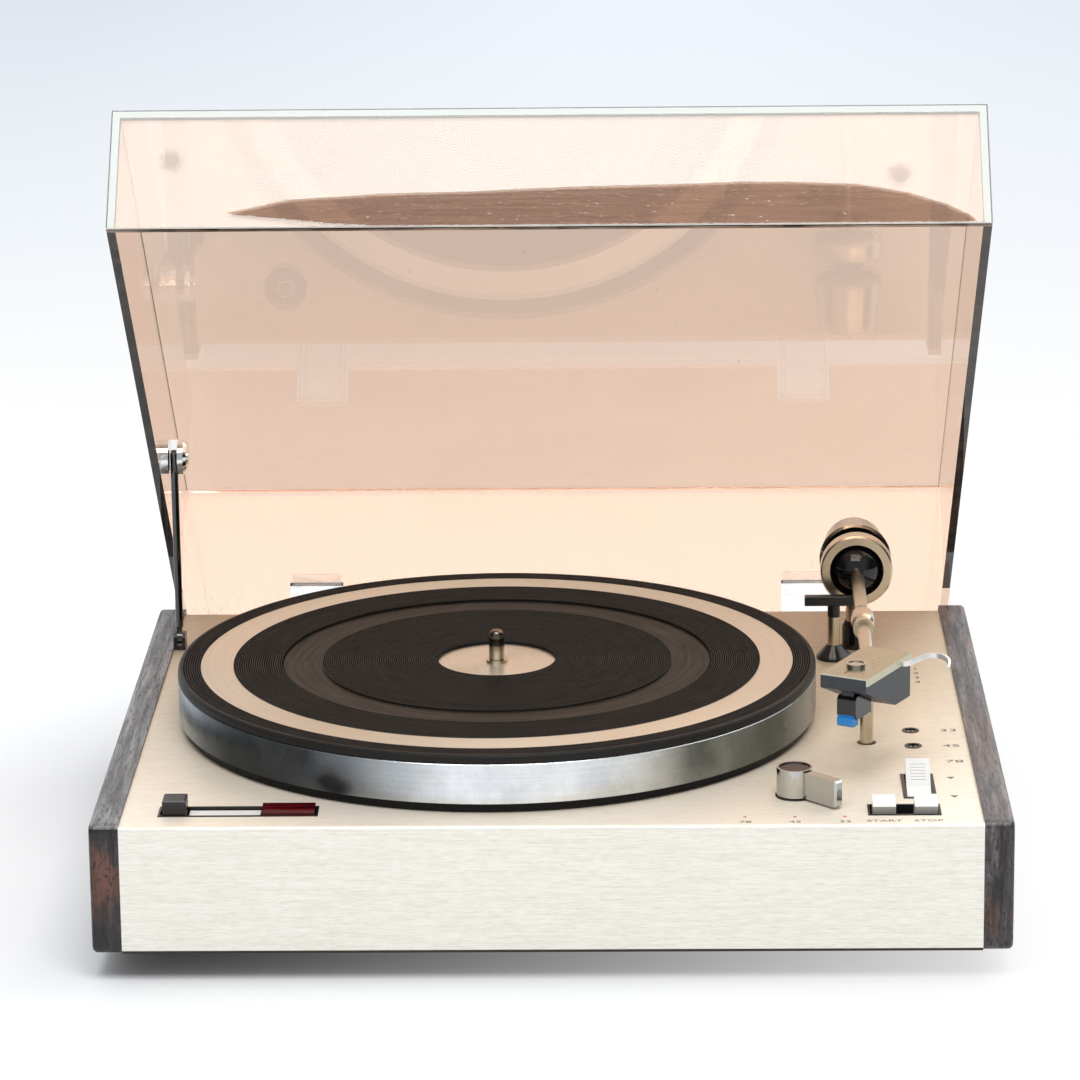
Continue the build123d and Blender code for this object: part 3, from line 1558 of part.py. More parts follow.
# Hinge leaves on the lid's back, each with a tongue, a knuckle and a pin
leaf_low = 5.5
leaf_high = 11.0
leaf_half = 12.0
leaf_thickness = 1.5
knuckle_radius = 3.2
knuckle_half = 7.0
pin_half = 12.5
with BuildPart() as hinge_leaves:
    for x in hinge_xs:
        with BuildSketch(lid_floor.offset(leaf_low)):
            with Locations((x - middle_x, leaf_thickness / 2)):
                Rectangle(2 * leaf_half, leaf_thickness)
        extrude(amount=leaf_high - leaf_low)
        with BuildSketch(lid_floor):
            with Locations((x - middle_x, leaf_thickness / 2)):
                Rectangle(2 * knuckle_half, leaf_thickness)
        extrude(amount=leaf_low)
        with BuildSketch(Plane.YZ.offset(x - knuckle_half)):
            with Locations((lid_setback, hinge_z)):
                Circle(knuckle_radius)
        extrude(amount=2 * knuckle_half)
        with BuildSketch(Plane.YZ.offset(x - pin_half)):
            with Locations((lid_setback, hinge_z)):
                Circle(pin_radius)
        extrude(amount=2 * pin_half)
hinge_leaves.part.label = "hinge_leaves"
export_step(hinge_leaves.part, "parts/hinge_leaves.step")

# Chrome drum on the lid's left wall, slotted for the stay
drum_y = -126.0
drum_z = 8.7
drum_radius = 8.2
drum_reach = 6.2
drum_nub = 0.8
drum_nub_radius = 3.4
drum_edge = 1.5
drum_slot = 2.1
drum_slot_back = 2.4
drum_closed_rise = -2.9
drum_left = middle_x - lid_half + lid_wall
drum_right = stay_x + drum_reach
drum_centre = lid_side.from_local_coords((drum_y, drum_z, 0))
with BuildPart() as stay_drum:
    with BuildSketch(lid_side.offset(drum_left)):
        with Locations((drum_y, drum_z)):
            Circle(drum_radius)
    extrude(amount=drum_right - drum_left)
    chamfer(stay_drum.edges().filter_by(GeomType.CIRCLE).group_by(Axis.X)[-1], length=drum_edge)
    with BuildSketch(lid_side.offset(drum_right)):
        with Locations((drum_y, drum_z)):
            Circle(drum_nub_radius)
    extrude(amount=drum_nub)
    with BuildSketch(Plane.YZ.offset(stay_x - drum_slot)):
        with Locations((drum_centre.Y + drum_slot_back - drum_radius, drum_centre.Z)):
            Rectangle(2 * drum_radius, 4 * drum_radius)
    extrude(amount=2 * drum_slot, mode=Mode.SUBTRACT)
    with BuildSketch(lid_side.offset(stay_x - drum_slot)):
        with Locations((drum_y, drum_z + drum_closed_rise - drum_radius)):
            Rectangle(4 * drum_radius, 2 * drum_radius)
    extrude(amount=2 * drum_slot, mode=Mode.SUBTRACT)
stay_drum.part.label = "stay_drum"
export_step(stay_drum.part, "parts/stay_drum.step")

# Stay rod from the fork up through the drum
rod_radius = 1.75
rod_length = 90.5
tongue_length = 5.5
rod_way = degrees(atan2(drum_centre.Z - stay_z, drum_centre.Y - stay_y))
rod_up = (0, cos(radians(rod_way)), sin(radians(rod_way)))
rod_foot = Plane(origin=(stay_x, stay_y, stay_z), x_dir=(1, 0, 0), z_dir=rod_up)
with BuildPart() as stay_rod:
    with BuildSketch(rod_foot.offset(tongue_length)):
        Circle(rod_radius)
    extrude(amount=rod_length - tongue_length)
    with BuildSketch(rod_foot):
        Rectangle(2 * eye_half, 2 * rod_radius)
    extrude(amount=tongue_length)
    with BuildSketch(Plane.YZ.offset(stay_x - eye_half)):
        with Locations((stay_y, stay_z)):
            Circle(eye_radius)
    extrude(amount=2 * eye_half)
    with BuildSketch(Plane.YZ.offset(stay_x - fork_half - fork_wall)):
        with Locations((stay_y, stay_z)):
            Circle(fork_pin)
    extrude(amount=2 * fork_half + 2 * fork_wall)
stay_rod.part.label = "stay_rod"
export_step(stay_rod.part, "parts/stay_rod.step")
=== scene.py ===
import math

import bpy
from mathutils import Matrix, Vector


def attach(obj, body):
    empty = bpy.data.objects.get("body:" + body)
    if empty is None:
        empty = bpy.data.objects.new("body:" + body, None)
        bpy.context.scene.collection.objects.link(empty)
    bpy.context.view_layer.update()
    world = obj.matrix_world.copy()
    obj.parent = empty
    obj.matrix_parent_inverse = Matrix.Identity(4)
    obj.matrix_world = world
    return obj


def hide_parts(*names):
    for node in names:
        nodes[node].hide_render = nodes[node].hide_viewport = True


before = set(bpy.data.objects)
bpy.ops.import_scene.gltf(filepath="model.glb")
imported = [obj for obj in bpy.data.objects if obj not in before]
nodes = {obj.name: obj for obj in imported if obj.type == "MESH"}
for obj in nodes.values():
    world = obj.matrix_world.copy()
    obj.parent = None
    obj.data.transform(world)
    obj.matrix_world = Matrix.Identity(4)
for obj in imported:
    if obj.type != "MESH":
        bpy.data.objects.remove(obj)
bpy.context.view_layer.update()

scene = bpy.context.scene
MM = 0.001

# Camera, fitted to the photograph
camera = bpy.data.objects.new("camera", bpy.data.cameras.new("camera"))
scene.collection.objects.link(camera)
camera.data.sensor_width = 36
camera.data.lens = 163.44
camera.data.clip_end = 40
camera.location = (0.06491, -2.11472, 0.63338)
camera.rotation_euler = [math.radians(a) for a in (74.70683, 0.62824, 1.04374)]
scene.camera = camera
scene.view_settings.view_transform = "Standard"

# Places that the pieces below share with the solids, in metres, and the angles of the arm and the lid
DECK_Z = -26.0 * MM
FRONT_Y = -159.5 * MM
FLOOR_Z = -94.7 * MM
KNOB_X = 130.2 * MM
KNOB_Y = -120.0 * MM
ARM_SWING = math.radians(-0.65)
LID_TILT = math.radians(42.9)


# Materials: small helpers over the shader nodes
class Shader:
    def __init__(self, name, color=(0.5, 0.5, 0.5), rough=0.5, metal=0.0, **sockets):
        self.material = bpy.data.materials.new(name)
        self.material.use_nodes = True
        self.tree = self.material.node_tree
        self.bsdf = self.tree.nodes["Principled BSDF"]
        self.set("Base Color", (*color, 1))
        self.set("Roughness", rough)
        self.set("Metallic", metal)
        for socket, value in sockets.items():
            self.set(socket.replace("_", " "), value)

    def set(self, socket, value):
        self.bsdf.inputs[socket].default_value = value

    def node(self, kind, **values):
        made = self.tree.nodes.new(kind)
        for key, value in values.items():
            setattr(made, key, value)
        return made

    def link(self, a, b):
        self.tree.links.new(a, b)

    def coords(self, scale=(1, 1, 1), rotation=(0, 0, 0), location=(0, 0, 0)):
        """Object coordinates, which are the shared frame in metres, scaled, turned and moved."""
        where = self.node("ShaderNodeTexCoord")
        mapping = self.node("ShaderNodeMapping")
        mapping.inputs["Scale"].default_value = scale
        mapping.inputs["Rotation"].default_value = rotation
        mapping.inputs["Location"].default_value = location
        self.link(where.outputs["Object"], mapping.inputs["Vector"])
        return mapping.outputs["Vector"]

    def polar(self, scale):
        """Coordinates that run round the spindle's axis: angle, distance from the origin, height."""
        where = self.node("ShaderNodeTexCoord")
        parts = self.node("ShaderNodeSeparateXYZ")
        self.link(where.outputs["Object"], parts.inputs[0])
        angle = self.node("ShaderNodeMath", operation="ARCTAN2")
        self.link(parts.outputs["Y"], angle.inputs[0])
        self.link(parts.outputs["X"], angle.inputs[1])
        radius = self.node("ShaderNodeVectorMath", operation="LENGTH")
        self.link(where.outputs["Object"], radius.inputs[0])
        joined = self.node("ShaderNodeCombineXYZ")
        self.link(angle.outputs[0], joined.inputs["X"])
        self.link(radius.outputs["Value"], joined.inputs["Y"])
        self.link(parts.outputs["Z"], joined.inputs["Z"])
        mapping = self.node("ShaderNodeMapping")
        mapping.inputs["Scale"].default_value = scale
        self.link(joined.outputs[0], mapping.inputs["Vector"])
        return mapping.outputs["Vector"]

    def noise(self, vector, scale=5.0, detail=3.0, rough=0.5, distort=0.0):
        made = self.node("ShaderNodeTexNoise")
        made.inputs["Scale"].default_value = scale
        made.inputs["Detail"].default_value = detail
        made.inputs["Roughness"].default_value = rough
        made.inputs["Distortion"].default_value = distort
        self.link(vector, made.inputs["Vector"])
        return made.outputs["Fac"]

    def ramp(self, factor, stops):
        """Colours at the given positions, blended between."""
        made = self.node("ShaderNodeValToRGB")
        elements = made.color_ramp.elements
        while len(elements) < len(stops):
            elements.new(0.5)
        for element, (position, color) in zip(elements, stops):
            element.position = position
            element.color = (*color, 1)
        self.link(factor, made.inputs["Fac"])
        return made.outputs["Color"]

    def grey(self, factor, low, high, start=0.3, end=0.7):
        """Goes from low to high as factor goes from start to end, and stops there."""
        made = self.node("ShaderNodeMapRange")
        made.inputs["From Min"].default_value = start
        made.inputs["From Max"].default_value = end
        made.inputs["To Min"].default_value = low
        made.inputs["To Max"].default_value = high
        self.link(factor, made.inputs["Value"])
        return made.outputs["Result"]

    def mix(self, factor, a, b, blend="MIX"):
        """Colour a where factor is 0 and b where it is 1, or their blend."""
        made = self.node("ShaderNodeMix", data_type="RGBA", blend_type=blend)
        if hasattr(factor, "links"):
            self.link(factor, made.inputs[0])
        else:
            made.inputs[0].default_value = factor
        for value, socket in ((a, made.inputs[6]), (b, made.inputs[7])):
            if hasattr(value, "links"):
                self.link(value, socket)
            else:
                socket.default_value = (*value, 1)
        return made.outputs[2]

    def facing(self, direction, limit=0.9):
        """1 on faces whose normal runs along direction, 0 elsewhere."""
        where = self.node("ShaderNodeTexCoord")
        dot = self.node("ShaderNodeVectorMath", operation="DOT_PRODUCT")
        dot.inputs[1].default_value = direction
        self.link(where.outputs["Normal"], dot.inputs[0])
        over = self.node("ShaderNodeMath", operation="GREATER_THAN")
        over.inputs[1].default_value = limit
        self.link(dot.outputs["Value"], over.inputs[0])
        return over.outputs[0]

    def along(self, direction, start, end):
        """0 to 1 as the point goes from start to end along direction."""
        where = self.node("ShaderNodeTexCoord")
        dot = self.node("ShaderNodeVectorMath", operation="DOT_PRODUCT")
        dot.inputs[1].default_value = direction
        self.link(where.outputs["Object"], dot.inputs[0])
        return self.grey(dot.outputs["Value"], 0, 1, start, end)

    def math(self, operation, a, b=0.0):
        made = self.node("ShaderNodeMath", operation=operation)
        for value, socket in ((a, made.inputs[0]), (b, made.inputs[1])):
            if hasattr(value, "links"):
                self.link(value, socket)
            else:
                socket.default_value = value
        return made.outputs[0]

    def spot(self, centre, radius):
        """1 at centre, falling to 0 at radius, with a broken border."""
        where = self.node("ShaderNodeTexCoord")
        away = self.node("ShaderNodeVectorMath", operation="DISTANCE")
        away.inputs[1].default_value = centre
        self.link(where.outputs["Object"], away.inputs[0])
        ragged = self.math("MULTIPLY", self.noise(self.coords((300, 300, 300)), 1.0, 4.0), radius)
        return self.grey(self.math("ADD", away.outputs["Value"], ragged), 1, 0, radius * 0.9, radius * 1.5)

    def feed(self, socket, output):
        """Gives one of the shader's sockets an output."""
        self.link(output, self.bsdf.inputs[socket])

    def color(self, output):
        self.feed("Base Color", output)

    def rough(self, output):
        self.feed("Roughness", output)

    def bump(self, output, strength=0.2, distance=0.0001):
        made = self.node("ShaderNodeBump")
        made.inputs["Strength"].default_value = strength
        made.inputs["Distance"].default_value = distance
        self.link(output, made.inputs["Height"])
        self.feed("Normal", made.outputs["Normal"])


def shades(color, spread):
    """A darker and a lighter shade of a colour."""
    return tuple(c * (1 - spread) for c in color), tuple(min(1, c * (1 + spread)) for c in color)


def brushed(name, color, rough, grain):
    """Metal with a fine grain, finest along the axes where grain is largest."""
    s = Shader(name, color, rough, 1.0)
    lines = s.noise(s.coords(grain), 1.0, 4.0, 0.6)
    dark, light = shades(color, 0.12)
    s.color(s.ramp(lines, ((0.32, dark), (0.68, light))))
    s.rough(s.grey(lines, rough + 0.06, rough - 0.04))
    s.bump(lines, 0.25, 0.00008)
    return s.material


def satin(name, color, rough=0.3, metal=1.0, speck=0.06, scale=260, **sockets):
    """A smooth finish with a little unevenness in its colour and sheen."""
    s = Shader(name, color, rough, metal, **sockets)
    cloud = s.noise(s.coords(), scale, 3.0)
    dark, light = shades(color, speck)
    s.color(s.ramp(cloud, ((0.3, dark), (0.7, light))))
    s.rough(s.grey(cloud, rough * 0.94, rough * 1.06))
    return s.material


def turned(name, color, rough, contrast=0.15, rings=2600, stretch=0.0):
    """Metal turned on a lathe about the spindle's axis; stretch draws its highlights out from the axis."""
    s = Shader(name, color, rough, 1.0)
    lines = s.noise(s.polar((1.5, rings, rings)), 1.0, 3.0)
    dark, light = shades(color, contrast)
    s.color(s.ramp(lines, ((0.3, dark), (0.7, light))))
    s.bump(lines, 0.15, 0.00004)
    if stretch:
        around = s.node("ShaderNodeTangent")
        around.direction_type = "RADIAL"
        around.axis = "Z"
        s.feed("Tangent", around.outputs["Tangent"])
        s.set("Anisotropic", stretch)
        s.set("Anisotropic Rotation", 0.25)
    return s.material


# Plain finishes
champagne = satin("champagne", (0.66, 0.57, 0.44), 0.26, speck=0.02, scale=60)
black_plastic = satin("black_plastic", (0.010, 0.010, 0.011), 0.32, 0.0)
black_gloss = satin("black_gloss", (0.007, 0.007, 0.007), 0.10, 0.0)
black_matt = satin("black_matt", (0.004, 0.004, 0.0045), 0.5, 0.0, Specular_IOR_Level=0.2)
rubber = satin("rubber", (0.012, 0.0115, 0.0105), 0.5, 0.0, 0.15, 400)

# Mat: the bands differ a little in tone, by their distance from the spindle
mat_rubber = Shader("mat_rubber", (0.010, 0.010, 0.009), 0.48, Specular_IOR_Level=0.18)
mat_parts = mat_rubber.node("ShaderNodeSeparateXYZ")
mat_rubber.link(mat_rubber.polar((1, 1, 1)), mat_parts.inputs[0])
mat_cloud = mat_rubber.noise(mat_rubber.polar((3, 500, 1)), 1.0, 4.0)
mat_tone = mat_rubber.ramp(mat_rubber.grey(mat_parts.outputs["Y"], 0, 1, 0.0, 0.150), (
    (0.0, (0.0100, 0.0105, 0.0095)), (0.520, (0.0100, 0.0105, 0.0095)),
    (0.526, (0.019, 0.015, 0.011)), (0.638, (0.019, 0.015, 0.011)),
    (0.644, (0.0105, 0.011, 0.010)), (0.880, (0.011, 0.0115, 0.0105)), (0.890, (0.014, 0.013, 0.012))))
mat_dust = mat_rubber.grey(mat_cloud, 0.0, 0.45, 0.4, 0.7)
mat_rubber.color(mat_rubber.mix(mat_dust, mat_tone, (0.018, 0.017, 0.015)))
mat_rubber.rough(mat_rubber.grey(mat_cloud, 0.42, 0.56))
# Near-black finish for the groove faces: painted shade in the mat's grooves
mat_groove_shade = satin("mat_groove_shade", (0.0015, 0.0015, 0.0015), 0.8, 0.0, 0.1, 400, Specular_IOR_Level=0.12)

white_plastic = satin("white_plastic", (0.84, 0.83, 0.80), 0.22, 0.0, 0.02, 150)
chrome = satin("chrome", (0.78, 0.77, 0.75), 0.08, 1.0, 0.02, 120)
steel = brushed("steel", (0.58, 0.58, 0.56), 0.30, (60, 900, 900))
dark_steel = satin("dark_steel", (0.09, 0.09, 0.095), 0.14, 1.0)
slate = satin("slate", (0.030, 0.034, 0.042), 0.42, 0.0, 0.12, 500)
paint_dark = satin("paint_dark", (0.02, 0.02, 0.022), 0.45, 0.0)
motor_metal = brushed("motor_metal", (0.42, 0.42, 0.42), 0.35, (900, 900, 14))
brass = turned("brass", (0.68, 0.50, 0.22), 0.25)
board = satin("board", (0.10, 0.17, 0.06), 0.4, 0.0, 0.15, 300)
blue = satin("blue", (0.010, 0.22, 0.58), 0.4, 0.0, 0.1, 900)
knob_chrome = satin("knob_chrome", (0.50, 0.51, 0.49), 0.12, 1.0, 0.03, 120)

# Brushed deck: greyer on the folded front, the metal's own tone; the top is painted a warmer cream, standing in for
# light tinted by the lid
deck = Shader("deck_metal", (0.80, 0.70, 0.56), 0.46, 0.30)
deck_long = deck.noise(deck.coords((45, 1300, 1300)), 1.0, 5.0, 0.6, 0.25)
deck_short = deck.noise(deck.coords((190, 2400, 2400), location=(3, 1, 2)), 1.0, 2.0, 0.5, 0.6)
deck_grain = deck.math("ADD", deck.math("MULTIPLY", deck_long, 0.45), deck.math("MULTIPLY", deck_short, 0.55))
deck_cream = deck.ramp(deck_grain, (
    (0.36, (0.84, 0.75, 0.61)), (0.50, (0.94, 0.85, 0.71)), (0.64, (0.99, 0.92, 0.81))))
# Painted light on the top: lighter towards the front, darker and warmer towards the back
deck_ahead = deck.along((0, -1, 0), -0.12, 0.16)
deck_painted_light = deck.ramp(deck_ahead, ((0.0, (0.72, 0.65, 0.56)), (0.55, (0.80, 0.76, 0.71)), (1.0, (1, 1, 1))))
deck_top = deck.mix(1.0, deck_cream, deck_painted_light, "MULTIPLY")
deck_face = deck.ramp(deck_grain, (
    (0.36, (0.80, 0.77, 0.68)), (0.50, (0.90, 0.87, 0.78)), (0.64, (0.97, 0.95, 0.88))))
deck.color(deck.mix(deck.facing((0, -1, 0), 0.8), deck_top, deck_face))
deck.rough(deck.grey(deck_grain, 0.54, 0.42, 0.36, 0.64))
deck.bump(deck_grain, 0.22, 0.00005)


def rosewood(name, seed, warm):
    """Dark wood, lighter grey on top, partly wear and partly a painted sheen, near black elsewhere, with reddish
    patches at the front.
    """
    s = Shader(name, (0.05, 0.04, 0.04), 0.4)
    grain = s.noise(s.coords((240, 14, 240), location=(seed, 0, 0)), 1.0, 6.0, 0.65, 0.6)
    across = s.noise(s.coords((240, 240, 30), location=(0, seed, 0)), 1.0, 6.0, 0.65, 0.7)
    ahead = s.facing((0, -1, 0), 0.7)
    beside = s.math("SUBTRACT", 1.0, ahead)
    lines = s.math("ADD", s.math("MULTIPLY", grain, beside), s.math("MULTIPLY", across, ahead))
    grey = ((0.030, 0.030, 0.030), (0.135, 0.132, 0.133), (0.340, 0.335, 0.335))
    brown = ((0.022, 0.018, 0.017), (0.095, 0.082, 0.076), (0.230, 0.195, 0.180))
    tones = brown if warm else grey
    worn_and_sheen = s.ramp(lines, ((0.30, tones[0]), (0.50, tones[1]), (0.72, tones[2])))
    black = s.ramp(lines, (
        (0.38, (0.012, 0.010, 0.011)), (0.56, (0.050, 0.044, 0.046)), (0.72, (0.160, 0.140, 0.140))))
    black = s.mix(1.0, black, (1.4, 1.36, 1.36) if warm else (0.42, 0.42, 0.48), "MULTIPLY")
    # Upward faces take the lighter tones: partly wear, partly a painted sheen
    plain = s.mix(s.facing((0, 0, 1), 0.5), black, worn_and_sheen)
    red = s.ramp(lines, ((0.34, (0.030, 0.011, 0.007)), (0.66, (0.230, 0.085, 0.042))))
    patch = s.noise(s.coords((34, 12, 22), location=(seed, seed, seed)), 1.0, 5.0, 0.6, 0.5)
    share = s.math("ADD", 0.42 if warm else 0.16, s.math("MULTIPLY", 0.58, s.along((0, -1, 0), 0.09, 0.16)))
    shown = s.mix(s.math("MULTIPLY", s.grey(patch, 0, 0.9, 0.49, 0.60), share), plain, red)
    pores = s.noise(s.coords((1100, 130, 420), location=(seed, 0, 0)), 1.0, 3.0, 0.6)
    s.color(s.mix(s.grey(pores, 0.9, 0.0, 0.36, 0.46), shown, (0.010, 0.008, 0.008)))
    s.rough(s.grey(lines, 0.5, 0.32))
    s.bump(pores, 0.3, 0.0002)
    return s.material


# Lid: tinted clear sheet whose cut edges are painted dark, as a reflection of the dark deck. Its own directions,
# then the walls' places along them in metres
LID_UP = (0.0, math.sin(LID_TILT), math.cos(LID_TILT))
LID_DOWN = tuple(-c for c in LID_UP)
LID_AHEAD = (0.0, -math.cos(LID_TILT), math.sin(LID_TILT))
LID_LEFT = -0.1627
LID_RIGHT = 0.2157
LID_BASE = 0.1118
LID_HIGH = 0.0592
LID_TOP = LID_BASE + LID_HIGH
LID_THICK = 0.0038
LID_FACE = 0.19065
LID_RIM_REACH = 0.002
TINT = (0.88, 0.655, 0.52)

# Hinge axis, and the front wall's distance from it
HINGE = Vector((0, 0.1905, -0.0244))
LID_REACH = 0.3468

# Width of the dark line outside the front wall's border, at the top and at the sides, and of its soft edge
LINE_TOP = 0.0006
LINE_SIDE = 0.0007
LINE_BLUR = 0.0002

# The brown film's lower and upper border on the front wall: place from left to right, height in FILM_UNIT
FILM_UNIT = 0.030
FILM_LOWER = ((0.0, 0.3), (0.132, 0.215), (0.248, 0.054), (0.30, 0.0), (1.0, 0.0))
FILM_UPPER = (
    (0.0, 0.0), (0.128, 0.215), (0.204, 0.457), (0.3075, 0.547), (0.412, 0.577), (0.5156, 0.637), (0.62, 0.667),
    (0.7236, 0.707), (0.7756, 0.70), (0.8536, 0.647), (0.9057, 0.51), (0.947, 0.32), (0.973, 0.143), (0.985, 0.0))

# Smudges on the front wall: place across the player, and distance from the hinge along LID_UP
SMUDGES = ((-0.1358, 0.0335), (0.1770, 0.0245))
SMUDGE_RADIUS = 0.0075


def lid_film(s, color, solid):
    """The front wall's brown film, with a pale cream haze over the rest that paints the softbox's reflection;
    returns the new colour and solidity.
    """
    height = s.along(LID_UP, LID_BASE, LID_TOP)
    place = s.along((1, 0, 0), LID_LEFT, LID_RIGHT)
    speck = s.noise(s.coords((600, 600, 600)), 1.0, 4.0)
    lower = s.ramp(place, [(p, (v, v, v)) for p, v in FILM_LOWER])
    upper = s.ramp(place, [(p, (v, v, v)) for p, v in FILM_UPPER])
    share = s.math("MULTIPLY", height, LID_HIGH / FILM_UNIT)
    uneven = s.math("ADD", share, s.math("MULTIPLY", s.math("SUBTRACT", speck, 0.5), 0.05))
    under_top = s.grey(s.math("SUBTRACT", upper, uneven), 0, 1, 0.0, 0.03)
    over_foot = s.grey(s.math("SUBTRACT", uneven, lower), 0, 1, 0.0, 0.03)
    dust = s.noise(s.coords((260, 900, 900), location=(5, 2, 1)), 1.0, 5.0, 0.7)
    film = s.math("MULTIPLY", s.math("MULTIPLY", under_top, over_foot), s.grey(dust, 1, 0, 0.61, 0.68))
    # Painted reflection: outside the film a pale haze, whiter in the middle and peachier at the sides, stands in
    # for the softbox's reflection
    painted_glare = s.math("MULTIPLY", s.math("SUBTRACT", 1.0, film), 0.16)
    wings = s.math("ABSOLUTE", s.math("SUBTRACT", place, 0.5))
    cream = s.mix(s.grey(wings, 0, 1, 0.1, 0.5), (0.95, 0.93, 0.88), (0.94, 0.83, 0.75))
    dashes = s.noise(s.coords((30, 1400, 1400)), 1.0, 3.0)
    brown = s.ramp(dashes, ((0.35, (0.47, 0.35, 0.28)), (0.65, (0.58, 0.44, 0.36))))
    # The film catches the light as if it leaned forward
    tip = s.node("ShaderNodeBump")
    tip.inputs["Distance"].default_value = 0.32
    s.link(film, tip.inputs["Strength"])
    s.link(s.along(LID_DOWN, -1.0, 1.0), tip.inputs["Height"])
    s.feed("Normal", tip.outputs["Normal"])
    return s.mix(film, s.mix(0.85, color, cream), brown), s.math("MAXIMUM", solid, painted_glare)


def lid_smudges(s, color, rough):
    """Two dull smudges on the front wall; returns the new colour and roughness."""
    for across, up in SMUDGES:
        middle = HINGE + Vector(LID_UP) * up + Vector(LID_AHEAD) * LID_REACH
        smudge = s.spot((across, middle.y, middle.z), SMUDGE_RADIUS)
        rough = s.math("ADD", rough, s.math("MULTIPLY", smudge, 0.22))
        color = s.mix(s.math("MULTIPLY", smudge, 0.7), color, (0.66, 0.58, 0.52))
    return color, rough


def lid_border(s, color, solid):
    """The pale ends of the neighbouring sheets round the front wall, with a dark line outside them."""
    def within(top, side):
        """1 where the point is nearer to the wall's top or side edges than these distances."""
        at_top = s.along(LID_UP, LID_TOP - top, LID_TOP - top + LINE_BLUR)
        at_left = s.along((-1, 0, 0), -LID_LEFT - side, -LID_LEFT - side + LINE_BLUR)
        at_right = s.along((1, 0, 0), LID_RIGHT - side, LID_RIGHT - side + LINE_BLUR)
        return s.math("MAXIMUM", at_top, s.math("MAXIMUM", at_left, at_right))

    band = within(LID_THICK, LID_THICK)
    line = within(LINE_TOP, LINE_SIDE)
    color = s.mix(line, s.mix(band, color, (0.64, 0.68, 0.64)), (0.06, 0.055, 0.05))
    solid = s.math("MAXIMUM", solid, s.math("MULTIPLY", band, 0.8))
    return color, s.math("MAXIMUM", solid, line)


def lid_cut(s, color, solid, front):
    """The cut edge along the lid's rim, painted dark as a reflection of the dark deck; the front wall's is pale on
    its outer third.
    """
    at_rim = s.along(LID_DOWN, -LID_BASE - LID_RIM_REACH * 1.5, -LID_BASE - LID_RIM_REACH)
    cut = s.math("MULTIPLY", s.facing(LID_DOWN, 0.95), at_rim)
    streak = s.noise(s.coords((30, 120, 120)), 1.0, 4.0)
    edge = s.ramp(streak, (
        (0.42, (0.012, 0.009, 0.008)), (0.60, (0.050, 0.030, 0.020)), (0.68, (0.035, 0.025, 0.020))))
    if front:
        brown = s.ramp(streak, ((0.40, (0.10, 0.065, 0.045)), (0.62, (0.40, 0.29, 0.21))))
        across = s.along(LID_AHEAD, LID_FACE - LID_THICK, LID_FACE)
        edge = s.mix(s.grey(across, 0, 1, 0.42, 0.46), brown, (0.020, 0.015, 0.012))
        edge = s.mix(s.grey(across, 0, 1, 0.66, 0.70), edge, (0.78, 0.76, 0.70))
    return s.mix(cut, color, edge), s.math("MAXIMUM", solid, cut)


def acrylic(name, rim=True, front=False, ior=1.52, coat=0.0, tint=TINT):
    """Clear sheet, a little cloudy and scratched; rim adds its cut edge, front what the front wall has."""
    s = Shader(name, tint, 0.012, IOR=ior, Coat_Weight=coat, Coat_Roughness=0.015)
    cloud = s.noise(s.coords((14, 14, 14)), 1.0, 5.0, 0.6, 0.6)
    color = s.ramp(cloud, ((0.3, tuple(c * 0.97 for c in tint)), (0.7, tint)))
    scratches = s.noise(s.coords((700, 20, 700), (0.3, 0.5, 0.7)), 1.0, 2.0)
    solid = s.math("MULTIPLY", s.grey(scratches, 0, 1, 0.72, 0.76), 0.25)
    rough = s.grey(cloud, 0.0, 0.05, 0.50, 0.80)
    if front:
        color, solid = lid_film(s, color, solid)
        color, rough = lid_smudges(s, color, rough)
        color, solid = lid_border(s, color, solid)
    if rim:
        color, solid = lid_cut(s, color, solid, front)
    s.color(color)
    s.rough(rough)
    s.feed("Transmission Weight", s.math("SUBTRACT", 1.0, solid))
    return s.material


lid_clear = acrylic("lid_clear", rim=False, coat=0.7)
hinge_clear = acrylic("hinge_clear", rim=False, ior=1.08, tint=(0.985, 0.975, 0.965))
lid_front = acrylic("lid_front", front=True)
lid_rimmed = acrylic("lid_rimmed")

# Platter rim: polished, with painted reflections in its colour: dark at the left and the right, fixed to the
# world's directions so they stay in place while it turns, and broad bluish and brownish patches
rim = Shader("platter_rim", (0.80, 0.82, 0.84), 0.26, 1.0)
streaks = rim.noise(rim.polar((2.2, 1, 900)), 1.0, 4.0, 0.6)
broad = rim.noise(rim.polar((7.0, 1, 40)), 1.0, 4.0, 0.6)
reflected_tints = rim.noise(rim.polar((4.0, 1, 90)), 1.0, 5.0, 0.7)
# Painted reflections: broad bluish patches and brownish tints
rim_reflected_patches = rim.ramp(broad, ((0.34, (0.60, 0.63, 0.66)), (0.66, (0.86, 0.89, 0.92))))
rim_reflected_tints = rim.mix(rim.grey(reflected_tints, 0, 0.35, 0.5, 0.7), rim_reflected_patches, (0.70, 0.66, 0.55))
rim_streaked = rim.ramp(streaks, ((0.35, (0.35, 0.35, 0.35)), (0.65, (0.85, 0.85, 0.83))))
rim_base = rim.mix(0.12, rim_reflected_tints, rim_streaked)
